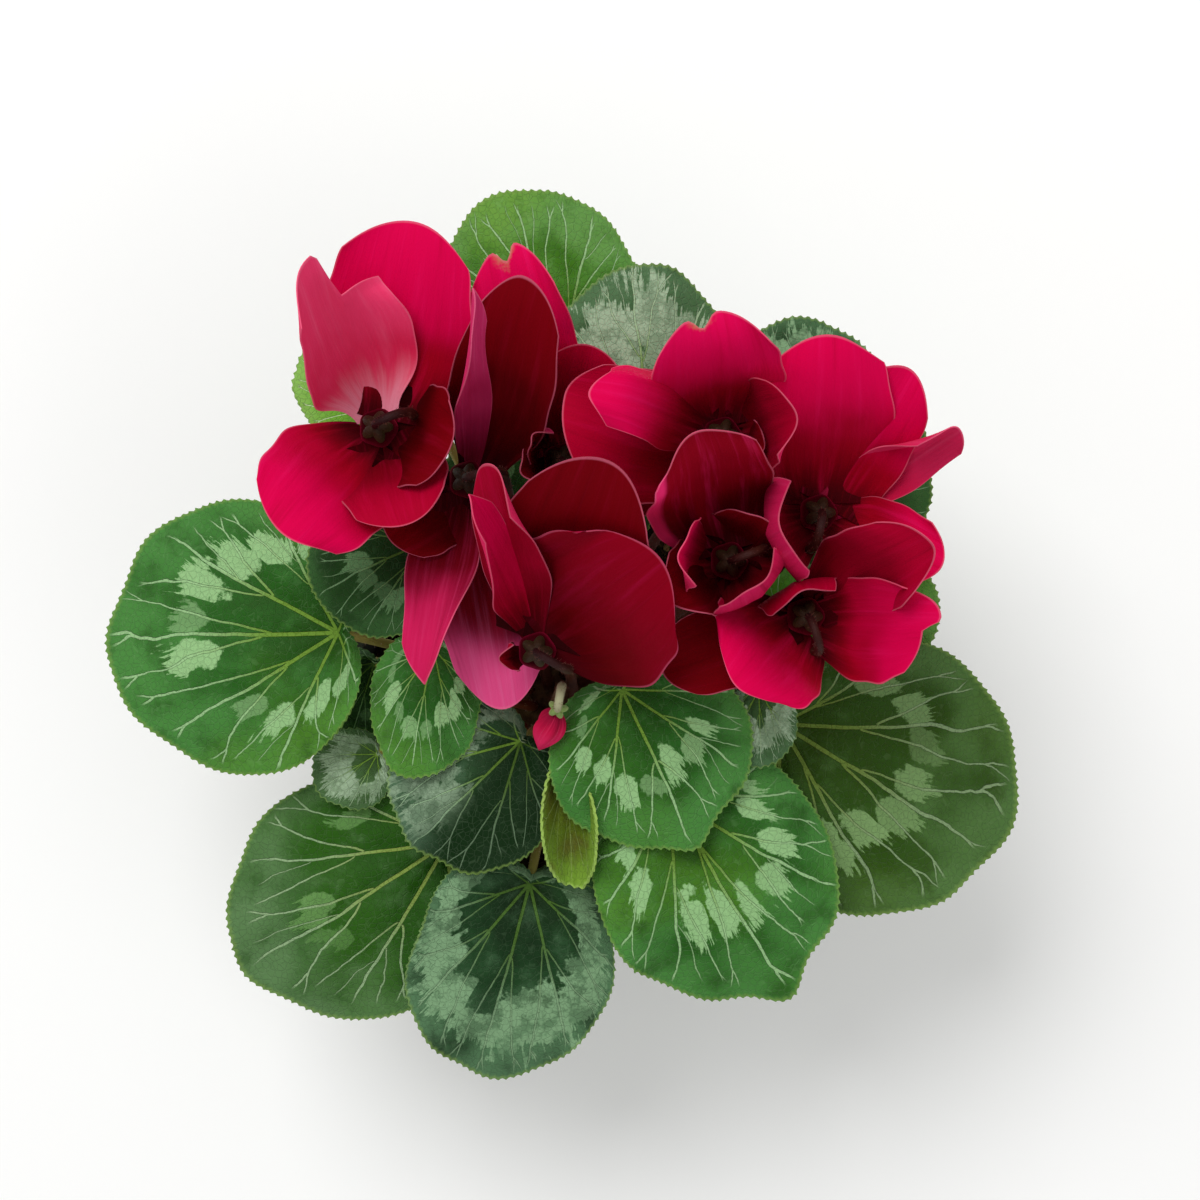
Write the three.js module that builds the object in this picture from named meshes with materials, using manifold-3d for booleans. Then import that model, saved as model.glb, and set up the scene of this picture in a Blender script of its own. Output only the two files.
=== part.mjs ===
// A potted cyclamen in bloom, in millimetres, +Z up.
// The origin is the middle of the pot's flat base, +Y is away from the viewer and +X is to the right.
// A plastic pot holds the soil, the soil holds the half-buried tuber, and every leaf stalk and
// flower stalk stands in a hole of its own in the tuber's crown.

import * as THREE from 'three';
import { mergeVertices } from 'three/addons/utils/BufferGeometryUtils.js';
import Module from 'manifold-3d';

const wasm = await Module();
wasm.setup();

// ---------------------------------------------------------------- driving dimensions

const FIT_GAP = 0.3;            // air left between pieces that touch

const SLIVER = 0.03;            // edges shorter than this are closed up after joining

const POT_HEIGHT = 105;
const POT_TOP_RADIUS = 60;      // outside of the lip
const POT_BASE_RADIUS = 43;
const POT_WALL = 1.6;
const POT_LIP_HEIGHT = 9;
const POT_LIP_STEP = 2.2;       // how far the lip stands proud of the wall
const POT_FOOT_LIFT = 1.5;      // the shallow recess under the base
const POT_FOOT_HUB_RADIUS = 22; // the flat middle of the base, which rests with the foot ring
const POT_FOOT_RING = 3;        // width of the ring at the base's edge
const POT_LIP_EDGE = 0.8;       // the chamfer round the top of the lip
const POT_SIDES = 32;
const DRAIN_COUNT = 8;
const DRAIN_RADIUS = 3.2;
const DRAIN_CIRCLE = 32;
const DRAIN_SIDES = 8;

const SOIL_LEVEL = 92;
const SOIL_LUMP = 1.3;          // height of the unevenness of the soil's top
const SOIL_LONG_WAVE = 8.4;     // lengths of its two waves, each over one radian
const SOIL_SHORT_WAVE = 4.3;
const SOIL_WALL_GAP = 0.6;      // between the soil and the pot's wall
const SOIL_RINGS = 4;
const SOIL_SIDES = 24;

const TUBER_RADIUS = 23;
const TUBER_BOTTOM = 82;
const TUBER_TOP = 100;
const TUBER_PROFILE = [         // shares of the radius and of the height
  [0.62, 0.05],
  [0.93, 0.28],
  [1, 0.53],
  [0.95, 0.78],
  [0.8, 0.93],
  [0.4, 1],
];
const TUBER_SIDES = 16;

const STALK_FOOT = 96;          // lower end of every stalk, inside its hole
const STALK_SIDES = 5;
const PETIOLE_RADIUS = 1.4;
const PEDUNCLE_RADIUS = 1.6;
const STALK_HOLE_DEPTH = 10;    // long enough to pass out of the tuber's top
const PETIOLE_STEPS = 4;
const PEDUNCLE_STEPS = 5;       // from the crown to the hook's foot
const HOOK_STEPS = 3;           // over the hook's crest
const HOOK_END_STEPS = 2;       // and down to the calyx

const LEAF_THICKNESS = 0.8;
const LEAF_LARGE = 50;          // a leaf longer than this has one more ring of faces
const LEAF_TOOTH = 0.02;        // depth of the margin's teeth, as a share of the leaf's radius
const LEAF_LOBE = 0.17;         // how far the lobes reach behind the stalk, as a share of length
const LEAF_SINUS = 0.72;        // how deep the notch is cut, as a share of the lobes' reach
const LEAF_SINUS_WIDTH = 0.36;  // radians

const PETAL_THICKNESS = 0.7;
const PETAL_ROWS = [0, 0.18, 0.42, 0.7, 1];
const PETAL_BROAD = 23;         // a petal at least this wide has four columns of faces, others two
const PETAL_BASE_WIDTH = 0.18;  // width where the petal leaves the tube, as a share of its widest
const PETAL_WIDEST = 0.5;       // where along the petal it is widest
const PETAL_TIP_WIDTH = 0.8;
const PETAL_TIP_ROUNDING = 0.15;

const TUBE_RADIUS = 4.6;        // the short tube that the five petals grow from
const TUBE_TOP = -2.3;          // heights from the bloom's own centre
const TUBE_MOUTH = -9.5;
const TUBE_SIDES = 10;
const PETAL_FOOT_REACH = 2.4;   // where a petal's middle line starts inside the tube
const PETAL_FOOT_HEIGHT = -6.5;
const CALYX_TOP = 3.2;
const CALYX_RIM = -2;
const CALYX_RADIUS = 5.2;
const HOOK_REACH = 9;           // how far beside the calyx the stalk comes up
const HOOK_HEIGHT = 10;

// ---------------------------------------------------------------- what grows where

// Each leaf: the root of its stalk on the crown as [azimuth in degrees, radius], the point where
// the stalk meets the blade, the heading of its midrib, its length and width, how its tip rises
// (pitch), how it leans to its left (roll), its dome, and the height and phase of its wave.
const LEAVES = [
  { name: 'leaf_01', root: [160, 15.6], at: [-58, 16, 141], heading: -178, length: 62, width: 72,
    pitch: -8, roll: 4, dome: 3, wave: 2.4, phase: 0.4, samples: 24 },
  { name: 'leaf_02', root: [153, 10], at: [-35, 39, 155], heading: -157, length: 31, width: 40,
    pitch: -10, roll: 0, dome: 2, wave: 1.6, phase: 1.2, samples: 16 },
  { name: 'leaf_03', root: [207, 10], at: [-50, 8, 127], heading: -108, length: 23, width: 26,
    pitch: -8, roll: 0, dome: 1.5, wave: 1, phase: 0, samples: 12 },
  { name: 'leaf_04', root: [180, 10], at: [-33, 12, 148], heading: -101, length: 33, width: 30,
    pitch: -5, roll: 8, dome: 2, wave: 1.4, phase: 2, samples: 18 },
  { name: 'leaf_05', root: [186, 15.6], at: [-49, -16, 130], heading: -149, length: 19, width: 22,
    pitch: -8, roll: 0, dome: 1, wave: 1, phase: 1, samples: 12 },
  { name: 'leaf_06', root: [222, 15.6], at: [-31, -40, 121], heading: -147, length: 66, width: 65,
    pitch: -5, roll: -4, dome: 3, wave: 2.2, phase: 2.2, samples: 24 },
  { name: 'leaf_07', root: [237, 10], at: [-11, -12, 141], heading: -136, length: 40, width: 46,
    pitch: -6, roll: 0, dome: 3, wave: 2.5, phase: 0.8, samples: 22 },
  { name: 'leaf_08', root: [262, 15.6], at: [-9, -50, 129], heading: -105, length: 55, width: 56,
    pitch: -9, roll: -5, dome: 3, wave: 2.4, phase: 3.4, samples: 24 },
  { name: 'leaf_09', root: [325, 10], at: [15, 2, 157], heading: -65, length: 43, width: 52,
    pitch: -7, roll: 0, dome: 3, wave: 2, phase: 1.6, samples: 24 },
  { name: 'leaf_10', root: [312, 15.6], at: [27, -26, 144], heading: -59, length: 60, width: 62,
    pitch: -8, roll: -3, dome: 4, wave: 2.6, phase: 0.2, samples: 24 },
  { name: 'leaf_11', root: [344, 15.6], at: [57, -8, 131], heading: -31, length: 68, width: 76,
    pitch: -7, roll: 4, dome: 4, wave: 2.8, phase: 2.8, samples: 26 },
  { name: 'leaf_12', root: [270, 10], at: [1, -20, 148], heading: -86, length: 30, width: 15,
    pitch: -12, roll: 0, dome: -2, wave: 0.6, phase: 0, samples: 12 },
  { name: 'leaf_13', root: [297, 10], at: [8, -28, 136], heading: -100, length: 23, width: 21,
    pitch: -3, roll: 0, dome: 1.5, wave: 1, phase: 1, samples: 12 },
  { name: 'leaf_14', root: [99, 10], at: [0, 88, 136], heading: 108, length: 46, width: 50,
    pitch: -3, roll: 0, dome: 3, wave: 2.2, phase: 0.9, samples: 22 },
  { name: 'leaf_15', root: [68, 15.6], at: [22, 68, 149], heading: 96, length: 42, width: 47,
    pitch: -4, roll: 0, dome: 3, wave: 2, phase: 2.4, samples: 22 },
  { name: 'leaf_16', root: [48, 15.6], at: [61, 62, 140], heading: 80, length: 36, width: 44,
    pitch: -5, roll: 0, dome: 2.5, wave: 2, phase: 0.5, samples: 20 },
  { name: 'leaf_17', root: [126, 15.6], at: [-47, 73, 129], heading: 146, length: 28, width: 28,
    pitch: -4, roll: 0, dome: 2, wave: 1.4, phase: 1.4, samples: 16 },
  { name: 'leaf_18', root: [28, 15.6], at: [60, 40, 132], heading: 40, length: 44, width: 44,
    pitch: -5, roll: 0, dome: 2, wave: 1.4, phase: 0.3, samples: 18 },
  { name: 'leaf_19', root: [8, 15.6], at: [58, 20, 124], heading: 5, length: 42, width: 44,
    pitch: -4, roll: 0, dome: 2, wave: 1.6, phase: 2, samples: 18 },
  { name: 'leaf_20', root: [353, 10], at: [50, 2, 150], heading: -88, length: 20, width: 20,
    pitch: -8, roll: 0, dome: 1, wave: 0.8, phase: 0, samples: 12 },
  { name: 'leaf_21', root: [107, 15.6], at: [-34, 74, 143], heading: 98, length: 34, width: 36,
    pitch: -4, roll: 0, dome: 2, wave: 1.8, phase: 0.6, samples: 16 },
  { name: 'leaf_22', root: [88, 15.6], at: [-2, 36, 117], heading: 88, length: 45, width: 54,
    pitch: -3, roll: 0, dome: 2, wave: 1.8, phase: 1.1, samples: 18 },
];

// Each bloom: the root of its stalk, its centre (where the calyx is), the side of the calyx on
// which the stalk comes up, and its petals. A petal has the azimuth of its tip, how far the tip
// reaches and rises from the centre, its width, the slope of its tip (lift), the turn of its
// face about its own length from base to tip (twist), and its cup (edges raised by that much).
const BLOOMS = [
  { name: 'bloom_a', root: [126, 10], at: [-44, 66, 192], side: 22, petals: [
    { azimuth: 79, reach: 49, rise: 6, width: 37, lift: 0, twist: 0, cup: 2 },
    { azimuth: 108, reach: 38, rise: 34, width: 26, lift: 45, twist: 45, cup: 4 },
    { azimuth: -129, reach: 33.5, rise: 10, width: 33, lift: -5, twist: -8, cup: -3 },
    { azimuth: -72, reach: 25, rise: 6, width: 27, lift: 5, twist: 0, cup: 2 },
    { azimuth: -36, reach: 16, rise: 14, width: 16, lift: 45, twist: 0, cup: 2 } ] },
  { name: 'bloom_b', root: [164, 4.7], at: [-23, 54, 182], side: 10, petals: [
    { azimuth: 84, reach: 41, rise: 44, width: 10, lift: 35, twist: 80, cup: 1.5 },
    { azimuth: 74, reach: 48, rise: 28, width: 26, lift: 5, twist: 0, cup: 2 },
    { azimuth: -102, reach: 51, rise: 0, width: 16, lift: -10, twist: 55, cup: 2 },
    { azimuth: -81, reach: 57.5, rise: -20, width: 27, lift: -15, twist: 0, cup: -2 },
    { azimuth: -142, reach: 24, rise: -4, width: 22, lift: 0, twist: 0, cup: 2 } ] },
  { name: 'bloom_c', root: [308, 4.7], at: [-6, 12, 181], side: -30, petals: [
    { azimuth: 34, reach: 37, rise: 22, width: 43, lift: 10, twist: 5, cup: -3 },
    { azimuth: 112, reach: 39, rise: 36, width: 14, lift: 50, twist: 75, cup: 2 },
    { azimuth: 103, reach: 45, rise: 32, width: 17, lift: 45, twist: -50, cup: 2 },
    { azimuth: 70, reach: 48, rise: 31, width: 38, lift: 30, twist: 0, cup: 4 },
    { azimuth: -165, reach: 13, rise: 6, width: 16, lift: 30, twist: 0, cup: 2 } ] },
  { name: 'bloom_d', root: [72, 10], at: [39, 64, 192], side: -120, petals: [
    { azimuth: 160, reach: 33, rise: 34, width: 20, lift: 30, twist: 55, cup: 4 },
    { azimuth: 101, reach: 26, rise: 32, width: 33, lift: 40, twist: 0, cup: 4 },
    { azimuth: 167, reach: 38, rise: 8, width: 22, lift: -5, twist: 0, cup: 2 },
    { azimuth: 16, reach: 16, rise: 20, width: 22, lift: 60, twist: 0, cup: 3 },
    { azimuth: -18, reach: 10, rise: 2, width: 12, lift: 30, twist: 0, cup: 2 } ] },
  { name: 'bloom_e', root: [46, 10], at: [63.5, 46, 176], side: -102, petals: [
    { azimuth: 92, reach: 41, rise: 12, width: 35, lift: 15, twist: 0, cup: 3 },
    { azimuth: 61, reach: 39, rise: 18, width: 25, lift: 25, twist: 20, cup: 2 },
    { azimuth: 32, reach: 34, rise: 40, width: 15, lift: 50, twist: 60, cup: 3 },
    { azimuth: -150, reach: 15, rise: 28, width: 20, lift: 80, twist: -30, cup: 5 },
    { azimuth: -12, reach: 32, rise: 14, width: 20, lift: 10, twist: 0, cup: 2 } ] },
  { name: 'bloom_f', root: [20, 4.7], at: [41, 34, 184], side: 20, petals: [
    { azimuth: 115, reach: 27, rise: 40, width: 33, lift: 80, twist: 10, cup: 6 },
    { azimuth: -152, reach: 18, rise: 14, width: 20, lift: 30, twist: 0, cup: 3 },
    { azimuth: 172, reach: 13, rise: 28, width: 18, lift: 80, twist: 0, cup: 3 },
    { azimuth: -55, reach: 13, rise: 14, width: 17, lift: 60, twist: 0, cup: 2 },
    { azimuth: 80, reach: 9, rise: 18, width: 12, lift: 80, twist: 0, cup: 2 } ] },
  { name: 'bloom_g', root: [20, 10], at: [60, 20.5, 180], side: -72, petals: [
    { azimuth: -145, reach: 27, rise: 10, width: 27, lift: -5, twist: 0, cup: -2 },
    { azimuth: -3, reach: 28, rise: 20, width: 26, lift: 35, twist: 20, cup: 3 },
    { azimuth: 31, reach: 30, rise: 30, width: 24, lift: 60, twist: 0, cup: 5 },
    { azimuth: 108, reach: 9, rise: 4, width: 13, lift: 40, twist: 0, cup: 2 },
    { azimuth: -160, reach: 38, rise: -4, width: 22, lift: -15, twist: 0, cup: 1 } ] },
  { name: 'bloom_h', root: [92, 4.7], at: [0, 59, 171], side: -60, petals: [
    { azimuth: 104, reach: 52, rise: 25, width: 26, lift: 5, twist: -6, cup: 2 },
    { azimuth: 76, reach: 28, rise: 14, width: 26, lift: 10, twist: 10, cup: 2 },
    { azimuth: 150, reach: 7, rise: 22, width: 10, lift: 80, twist: 0, cup: 2 },
    { azimuth: 195, reach: 9, rise: 12, width: 12, lift: 60, twist: 0, cup: 2 },
    { azimuth: 5, reach: 24, rise: 8, width: 22, lift: 20, twist: 0, cup: 2 } ] },
];

// The one closed bud: its petals are still rolled into a point that hangs from the calyx.
const BUD = {
  name: 'bud', root: [236, 4.7], at: [-1, -2.5, 168], side: 80, tip: [-6, -13.5, 157], radius: 3.6, turns: 0.6,
};
const BUD_FLUTE = 0.16;         // depth of the grooves between the rolled petals
const BUD_RINGS = 7;
const BUD_SIDES = 10;           // a ridge and a groove for each of five petals
const BUD_HOOK_REACH = 5.5;
const BUD_HOOK_HEIGHT = 7;
const BUD_CALYX_RADIUS = 3.4;

const COLOURS = {
  pot: { color: 0x3a3b3c, roughness: 0.55, metalness: 0 },
  soil: { color: 0x2a1e16, roughness: 0.95, metalness: 0 },
  tuber: { color: 0x6b4b35, roughness: 0.85, metalness: 0 },
  leaf: { color: 0x3f7a3c, roughness: 0.55, metalness: 0 },
  petal: { color: 0xc3093f, roughness: 0.6, metalness: 0 },
  stalk: { color: 0x6a3a2c, roughness: 0.6, metalness: 0 },
};

// ---------------------------------------------------------------- solids

const radians = THREE.MathUtils.degToRad;
const UP = new THREE.Vector3(0, 0, 1);

/** A horizontal direction from its azimuth in degrees. */
function heading(degrees) {
  return new THREE.Vector3(Math.cos(radians(degrees)), Math.sin(radians(degrees)), 0);
}

/** A geometry's vertices welded into a solid that can be cut and joined. */
function solidOf(geometry) {
  const bare = geometry.clone();
  bare.deleteAttribute('normal');
  bare.deleteAttribute('uv');
  const welded = mergeVertices(bare, 1e-4);
  return new wasm.Manifold(new wasm.Mesh({
    numProp: 3,
    vertProperties: new Float32Array(welded.attributes.position.array),
    triVerts: new Uint32Array(welded.index.array),
  }));
}

/** A solid's outside as a geometry with flat faces. */
function geometryOf(solid) {
  const { vertProperties, triVerts } = solid.getMesh();
  const geometry = new THREE.BufferGeometry();
  geometry.setAttribute('position', new THREE.BufferAttribute(new Float32Array(vertProperties), 3));
  geometry.setIndex(Array.from(triVerts));
  geometry.computeVertexNormals();
  return geometry;
}

/** The largest body of a solid: pinholes sealed in by joining are filled and scraps dropped. */
function largestBody(solid) {
  return solid.decompose()
    .reduce((best, body) => (body.volume() > best.volume() ? body : best))
    .simplify(SLIVER);
}

/** A geometry from points and triangles. */
function geometryFrom(points, triangles) {
  const geometry = new THREE.BufferGeometry().setFromPoints(points);
  geometry.setIndex(triangles.flat());
  return geometry;
}

/** Gives a surface its thickness: the same triangles on both faces, and a strip round the edge. */
function thicken(points, triangles, edge, thickness) {
  const normals = points.map(() => new THREE.Vector3());
  for (const [a, b, c] of triangles) {
    const ab = points[b].clone().sub(points[a]);
    const ac = points[c].clone().sub(points[a]);
    const normal = ab.cross(ac);
    for (const index of [a, b, c]) {
      normals[index].add(normal);
    }
  }
  const half = thickness / 2;
  const upper = points.map((point, i) => point.clone().addScaledVector(normals[i].normalize(), half));
  const lower = points.map((point, i) => point.clone().addScaledVector(normals[i], -half));
  const faces = [...triangles];
  for (const [a, b, c] of triangles) {
    faces.push([a + points.length, c + points.length, b + points.length]);
  }
  edge.forEach((a, i) => {
    const b = edge[(i + 1) % edge.length];
    faces.push([a, a + points.length, b]);
    faces.push([b, a + points.length, b + points.length]);
  });
  return geometryFrom([...upper, ...lower], faces);
}

/** A smooth curve through its points whose steps are those points, however far apart they are. */
class PointwiseCurve extends THREE.CatmullRomCurve3 {
  constructor(points) {
    super(points, false, 'centripetal');
  }

  getUtoTmapping(share) {
    return share;
  }
}

/** A round bar through points, closed at both ends. */
function bar(points, radius) {
  const section = new THREE.Shape();
  for (let i = 0; i < STALK_SIDES; i += 1) {
    const angle = (2 * Math.PI * i) / STALK_SIDES;
    section[i ? 'lineTo' : 'moveTo'](radius * Math.cos(angle), radius * Math.sin(angle));
  }
  section.closePath();
  return new THREE.ExtrudeGeometry(section, {
    steps: points.length - 1,
    extrudePath: new PointwiseCurve(points),
    bevelEnabled: false,
  });
}

/** A turned piece about +Z from [radius, height] pairs that start and end on the axis. */
function turned(profile, sides) {
  const points = profile.map(([radius, height]) => new THREE.Vector2(radius, height));
  return new THREE.LatheGeometry(points, sides).rotateX(Math.PI / 2);
}

/** One named mesh of the plant. */
function piece(name, solid, look) {
  const geometry = geometryOf(largestBody(solid));
  const mesh = new THREE.Mesh(geometry, new THREE.MeshStandardMaterial(look));
  mesh.name = name;
  return mesh;
}

// ---------------------------------------------------------------- pot, soil and tuber

/** Where a stalk's root stands on the crown. */
function rootPoint([azimuth, radius], height) {
  return heading(azimuth).multiplyScalar(radius).setZ(height);
}

/** The pot's outer radius at a height, without its lip. */
function potRadius(height) {
  const top = POT_TOP_RADIUS - POT_LIP_STEP;
  return POT_BASE_RADIUS + ((top - POT_BASE_RADIUS) * height) / POT_HEIGHT;
}

/** The plastic pot: a tapered shell with a lip, a foot and drain holes. */
function potSolid() {
  const inner = (height) => potRadius(height) - POT_WALL;
  const lipFoot = POT_HEIGHT - POT_LIP_HEIGHT;
  const shell = solidOf(turned([
    [0, 0],
    [POT_FOOT_HUB_RADIUS, 0],
    [POT_FOOT_HUB_RADIUS + 1, POT_FOOT_LIFT],
    [POT_BASE_RADIUS - POT_FOOT_RING - 1, POT_FOOT_LIFT],
    [POT_BASE_RADIUS - POT_FOOT_RING, 0],
    [POT_BASE_RADIUS, 0],
    [potRadius(lipFoot), lipFoot],
    [POT_TOP_RADIUS, lipFoot],
    [POT_TOP_RADIUS, POT_HEIGHT - POT_LIP_EDGE],
    [POT_TOP_RADIUS - POT_LIP_EDGE, POT_HEIGHT],
    [inner(POT_HEIGHT), POT_HEIGHT],
    [inner(POT_WALL + POT_FOOT_LIFT), POT_WALL + POT_FOOT_LIFT],
    [0, POT_WALL + POT_FOOT_LIFT],
  ], POT_SIDES));
  const drain = new THREE.CylinderGeometry(DRAIN_RADIUS, DRAIN_RADIUS, 4 * POT_WALL, DRAIN_SIDES)
    .rotateX(Math.PI / 2);
  let pot = shell;
  for (let i = 0; i < DRAIN_COUNT; i += 1) {
    const at = heading((360 * (i + 0.5)) / DRAIN_COUNT).multiplyScalar(DRAIN_CIRCLE);
    pot = pot.subtract(solidOf(drain.clone().translate(at.x, at.y, POT_WALL)));
  }
  return pot;
}

/** Height of the uneven soil at a place, from two waves that cross. */
function soilHeight(x, y) {
  const long = Math.sin(x / SOIL_LONG_WAVE) * Math.cos(y / SOIL_LONG_WAVE);
  const short = Math.sin((x - y) / SOIL_SHORT_WAVE);
  return SOIL_LEVEL + (SOIL_LUMP * (long + short)) / 2;
}

/** The flattened tuber, grown all round by a gap when it is to be cut out of the soil. */
function tuberSolid(grow) {
  const bottom = TUBER_BOTTOM - grow;
  const height = TUBER_TOP - TUBER_BOTTOM + 2 * grow;
  const radius = TUBER_RADIUS + grow;
  const flank = TUBER_PROFILE.map(([wide, high]) => [wide * radius, bottom + high * height]);
  return solidOf(turned([[0, bottom], ...flank, [0, bottom + height]], TUBER_SIDES));
}

/** The soil, from the pot's floor to its uneven top, with the tuber's place cut out. */
function soilSolid() {
  const floor = POT_WALL + POT_FOOT_LIFT + FIT_GAP;
  const inside = (height) => potRadius(height) - POT_WALL - SOIL_WALL_GAP;
  const points = [new THREE.Vector3(0, 0, floor), new THREE.Vector3(0, 0, SOIL_LEVEL)];
  const ringStart = [];
  const addRing = (radius, heightAt) => {
    ringStart.push(points.length);
    for (let i = 0; i < SOIL_SIDES; i += 1) {
      const at = heading((360 * i) / SOIL_SIDES).multiplyScalar(radius);
      points.push(at.setZ(heightAt(at.x, at.y)));
    }
  };
  addRing(inside(floor), () => floor);
  for (let ring = SOIL_RINGS; ring >= 1; ring -= 1) {
    addRing((inside(SOIL_LEVEL) * ring) / SOIL_RINGS, soilHeight);
  }
  const faces = [];
  for (let i = 0; i < SOIL_SIDES; i += 1) {
    const next = (i + 1) % SOIL_SIDES;
    faces.push([0, ringStart[0] + next, ringStart[0] + i]);
    for (let ring = 0; ring < SOIL_RINGS; ring += 1) {
      const [low, high] = [ringStart[ring], ringStart[ring + 1]];
      faces.push([low + i, low + next, high + i]);
      faces.push([low + next, high + next, high + i]);
    }
    faces.push([1, ringStart[SOIL_RINGS] + i, ringStart[SOIL_RINGS] + next]);
  }
  return solidOf(geometryFrom(points, faces)).subtract(tuberSolid(FIT_GAP));
}

/** The tuber with one plain hole for each stalk. */
function crownSolid() {
  const middle = STALK_FOOT - FIT_GAP + STALK_HOLE_DEPTH / 2;
  let crown = tuberSolid(0);
  const drill = (root, radius) => {
    const clear = (radius + FIT_GAP) / Math.cos(Math.PI / STALK_SIDES);
    const hole = new THREE.CylinderGeometry(clear, clear, STALK_HOLE_DEPTH, STALK_SIDES)
      .rotateX(Math.PI / 2)
      .translate(...rootPoint(root, middle).toArray());
    crown = crown.subtract(solidOf(hole));
  };
  LEAVES.forEach((leaf) => drill(leaf.root, PETIOLE_RADIUS));
  [...BLOOMS, BUD].forEach((bloom) => drill(bloom.root, PEDUNCLE_RADIUS));
  return crown;
}

// ---------------------------------------------------------------- leaves

/** A leaf's outline about its stalk: a rounded heart, as a point of [along, across]. */
function leafOutline(leaf, angle) {
  const back = leaf.length * LEAF_LOBE;
  const along = (leaf.length - back) / 2 + ((leaf.length + back) / 2) * Math.cos(angle);
  const across = (leaf.width / 2) * Math.sin(angle);
  const fromSinus = (Math.PI - Math.abs(angle)) / LEAF_SINUS_WIDTH;
  const cut = 1 - LEAF_SINUS * Math.exp(-fromSinus * fromSinus);
  return [along * cut, across * cut];
}

/** Height of the blade over its stalk: domed between stalk and margin, and waved at the margin. */
function leafHeight(leaf, angle, share) {
  const dome = leaf.dome * (Math.sin(Math.PI * share) - 0.8 * share * share);
  const wave = leaf.wave * share * share * Math.sin(3 * angle + leaf.phase);
  return dome + wave;
}

/** A leaf and its stalk. */
function leafSolid(leaf) {
  const shares = leaf.length > LEAF_LARGE ? [0.36, 0.7, 1] : [0.5, 1];
  const turn = new THREE.Matrix4()
    .makeRotationZ(radians(leaf.heading))
    .multiply(new THREE.Matrix4().makeRotationY(radians(-leaf.pitch)))
    .multiply(new THREE.Matrix4().makeRotationX(radians(leaf.roll)));
  const stalkEnd = new THREE.Vector3(...leaf.at);
  const points = [new THREE.Vector3()];
  for (const share of shares) {
    for (let i = 0; i < leaf.samples; i += 1) {
      const angle = (2 * Math.PI * i) / leaf.samples - Math.PI;
      const [along, across] = leafOutline(leaf, angle);
      const tooth = share === 1 ? 1 + LEAF_TOOTH * (i % 2 ? 1 : -1) : 1;
      points.push(new THREE.Vector3(
        along * share * tooth,
        across * share * tooth,
        leafHeight(leaf, angle, share),
      ));
    }
  }
  const placed = points.map((point) => point.applyMatrix4(turn).add(stalkEnd));
  const triangles = [];
  for (let i = 0; i < leaf.samples; i += 1) {
    const next = (i + 1) % leaf.samples;
    triangles.push([0, 1 + i, 1 + next]);
    for (let ring = 1; ring < shares.length; ring += 1) {
      const inner = 1 + (ring - 1) * leaf.samples;
      const outer = inner + leaf.samples;
      triangles.push([inner + i, outer + i, outer + next]);
      triangles.push([inner + i, outer + next, inner + next]);
    }
  }
  const rim = 1 + (shares.length - 1) * leaf.samples;
  const edge = Array.from({ length: leaf.samples }, (_, i) => rim + i);
  const blade = solidOf(thicken(placed, triangles, edge, LEAF_THICKNESS));
  return blade.add(solidOf(bar(petiolePoints(leaf), PETIOLE_RADIUS)));
}

/** A leaf stalk leaves its hole straight up and arches out to the blade. */
function petiolePoints(leaf) {
  const foot = rootPoint(leaf.root, STALK_FOOT);
  const clear = rootPoint(leaf.root, TUBER_TOP + 1);
  const end = new THREE.Vector3(...leaf.at).addScaledVector(UP, -0.6);
  const out = end.clone().sub(foot).setZ(0);
  const climb = end.z - foot.z;
  const arch = new THREE.CubicBezierCurve3(
    clear,
    clear.clone().addScaledVector(UP, climb * 0.5),
    end.clone().addScaledVector(out, -0.42).addScaledVector(UP, -climb * 0.18),
    end,
  );
  return [foot, ...arch.getPoints(PETIOLE_STEPS)];
}

// ---------------------------------------------------------------- blooms

/** A petal's width at a share of its length, as a share of its widest. */
function petalWidth(share) {
  if (share < PETAL_WIDEST) {
    const t = share / PETAL_WIDEST;
    return PETAL_BASE_WIDTH + (1 - PETAL_BASE_WIDTH) * Math.sin((Math.PI / 2) * t) ** 2;
  }
  const t = (share - PETAL_WIDEST) / (1 - PETAL_WIDEST);
  return 1 - (1 - PETAL_TIP_WIDTH) * t * t;
}

/** The line down a petal's middle: out of the tube's mouth, and then up to its tip. */
function petalCurve(centre, petal) {
  const out = heading(petal.azimuth);
  const base = centre.clone().addScaledVector(out, PETAL_FOOT_REACH)
    .addScaledVector(UP, PETAL_FOOT_HEIGHT);
  const tip = centre.clone().addScaledVector(out, petal.reach).addScaledVector(UP, petal.rise);
  const span = tip.distanceTo(base);
  const slope = radians(petal.lift);
  const ending = out.clone().multiplyScalar(Math.cos(slope)).addScaledVector(UP, Math.sin(slope));
  return new THREE.CubicBezierCurve3(
    base,
    base.clone().addScaledVector(out, 4 + span * 0.16).addScaledVector(UP, -6),
    tip.clone().addScaledVector(ending, -span * 0.42),
    tip,
  );
}

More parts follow.
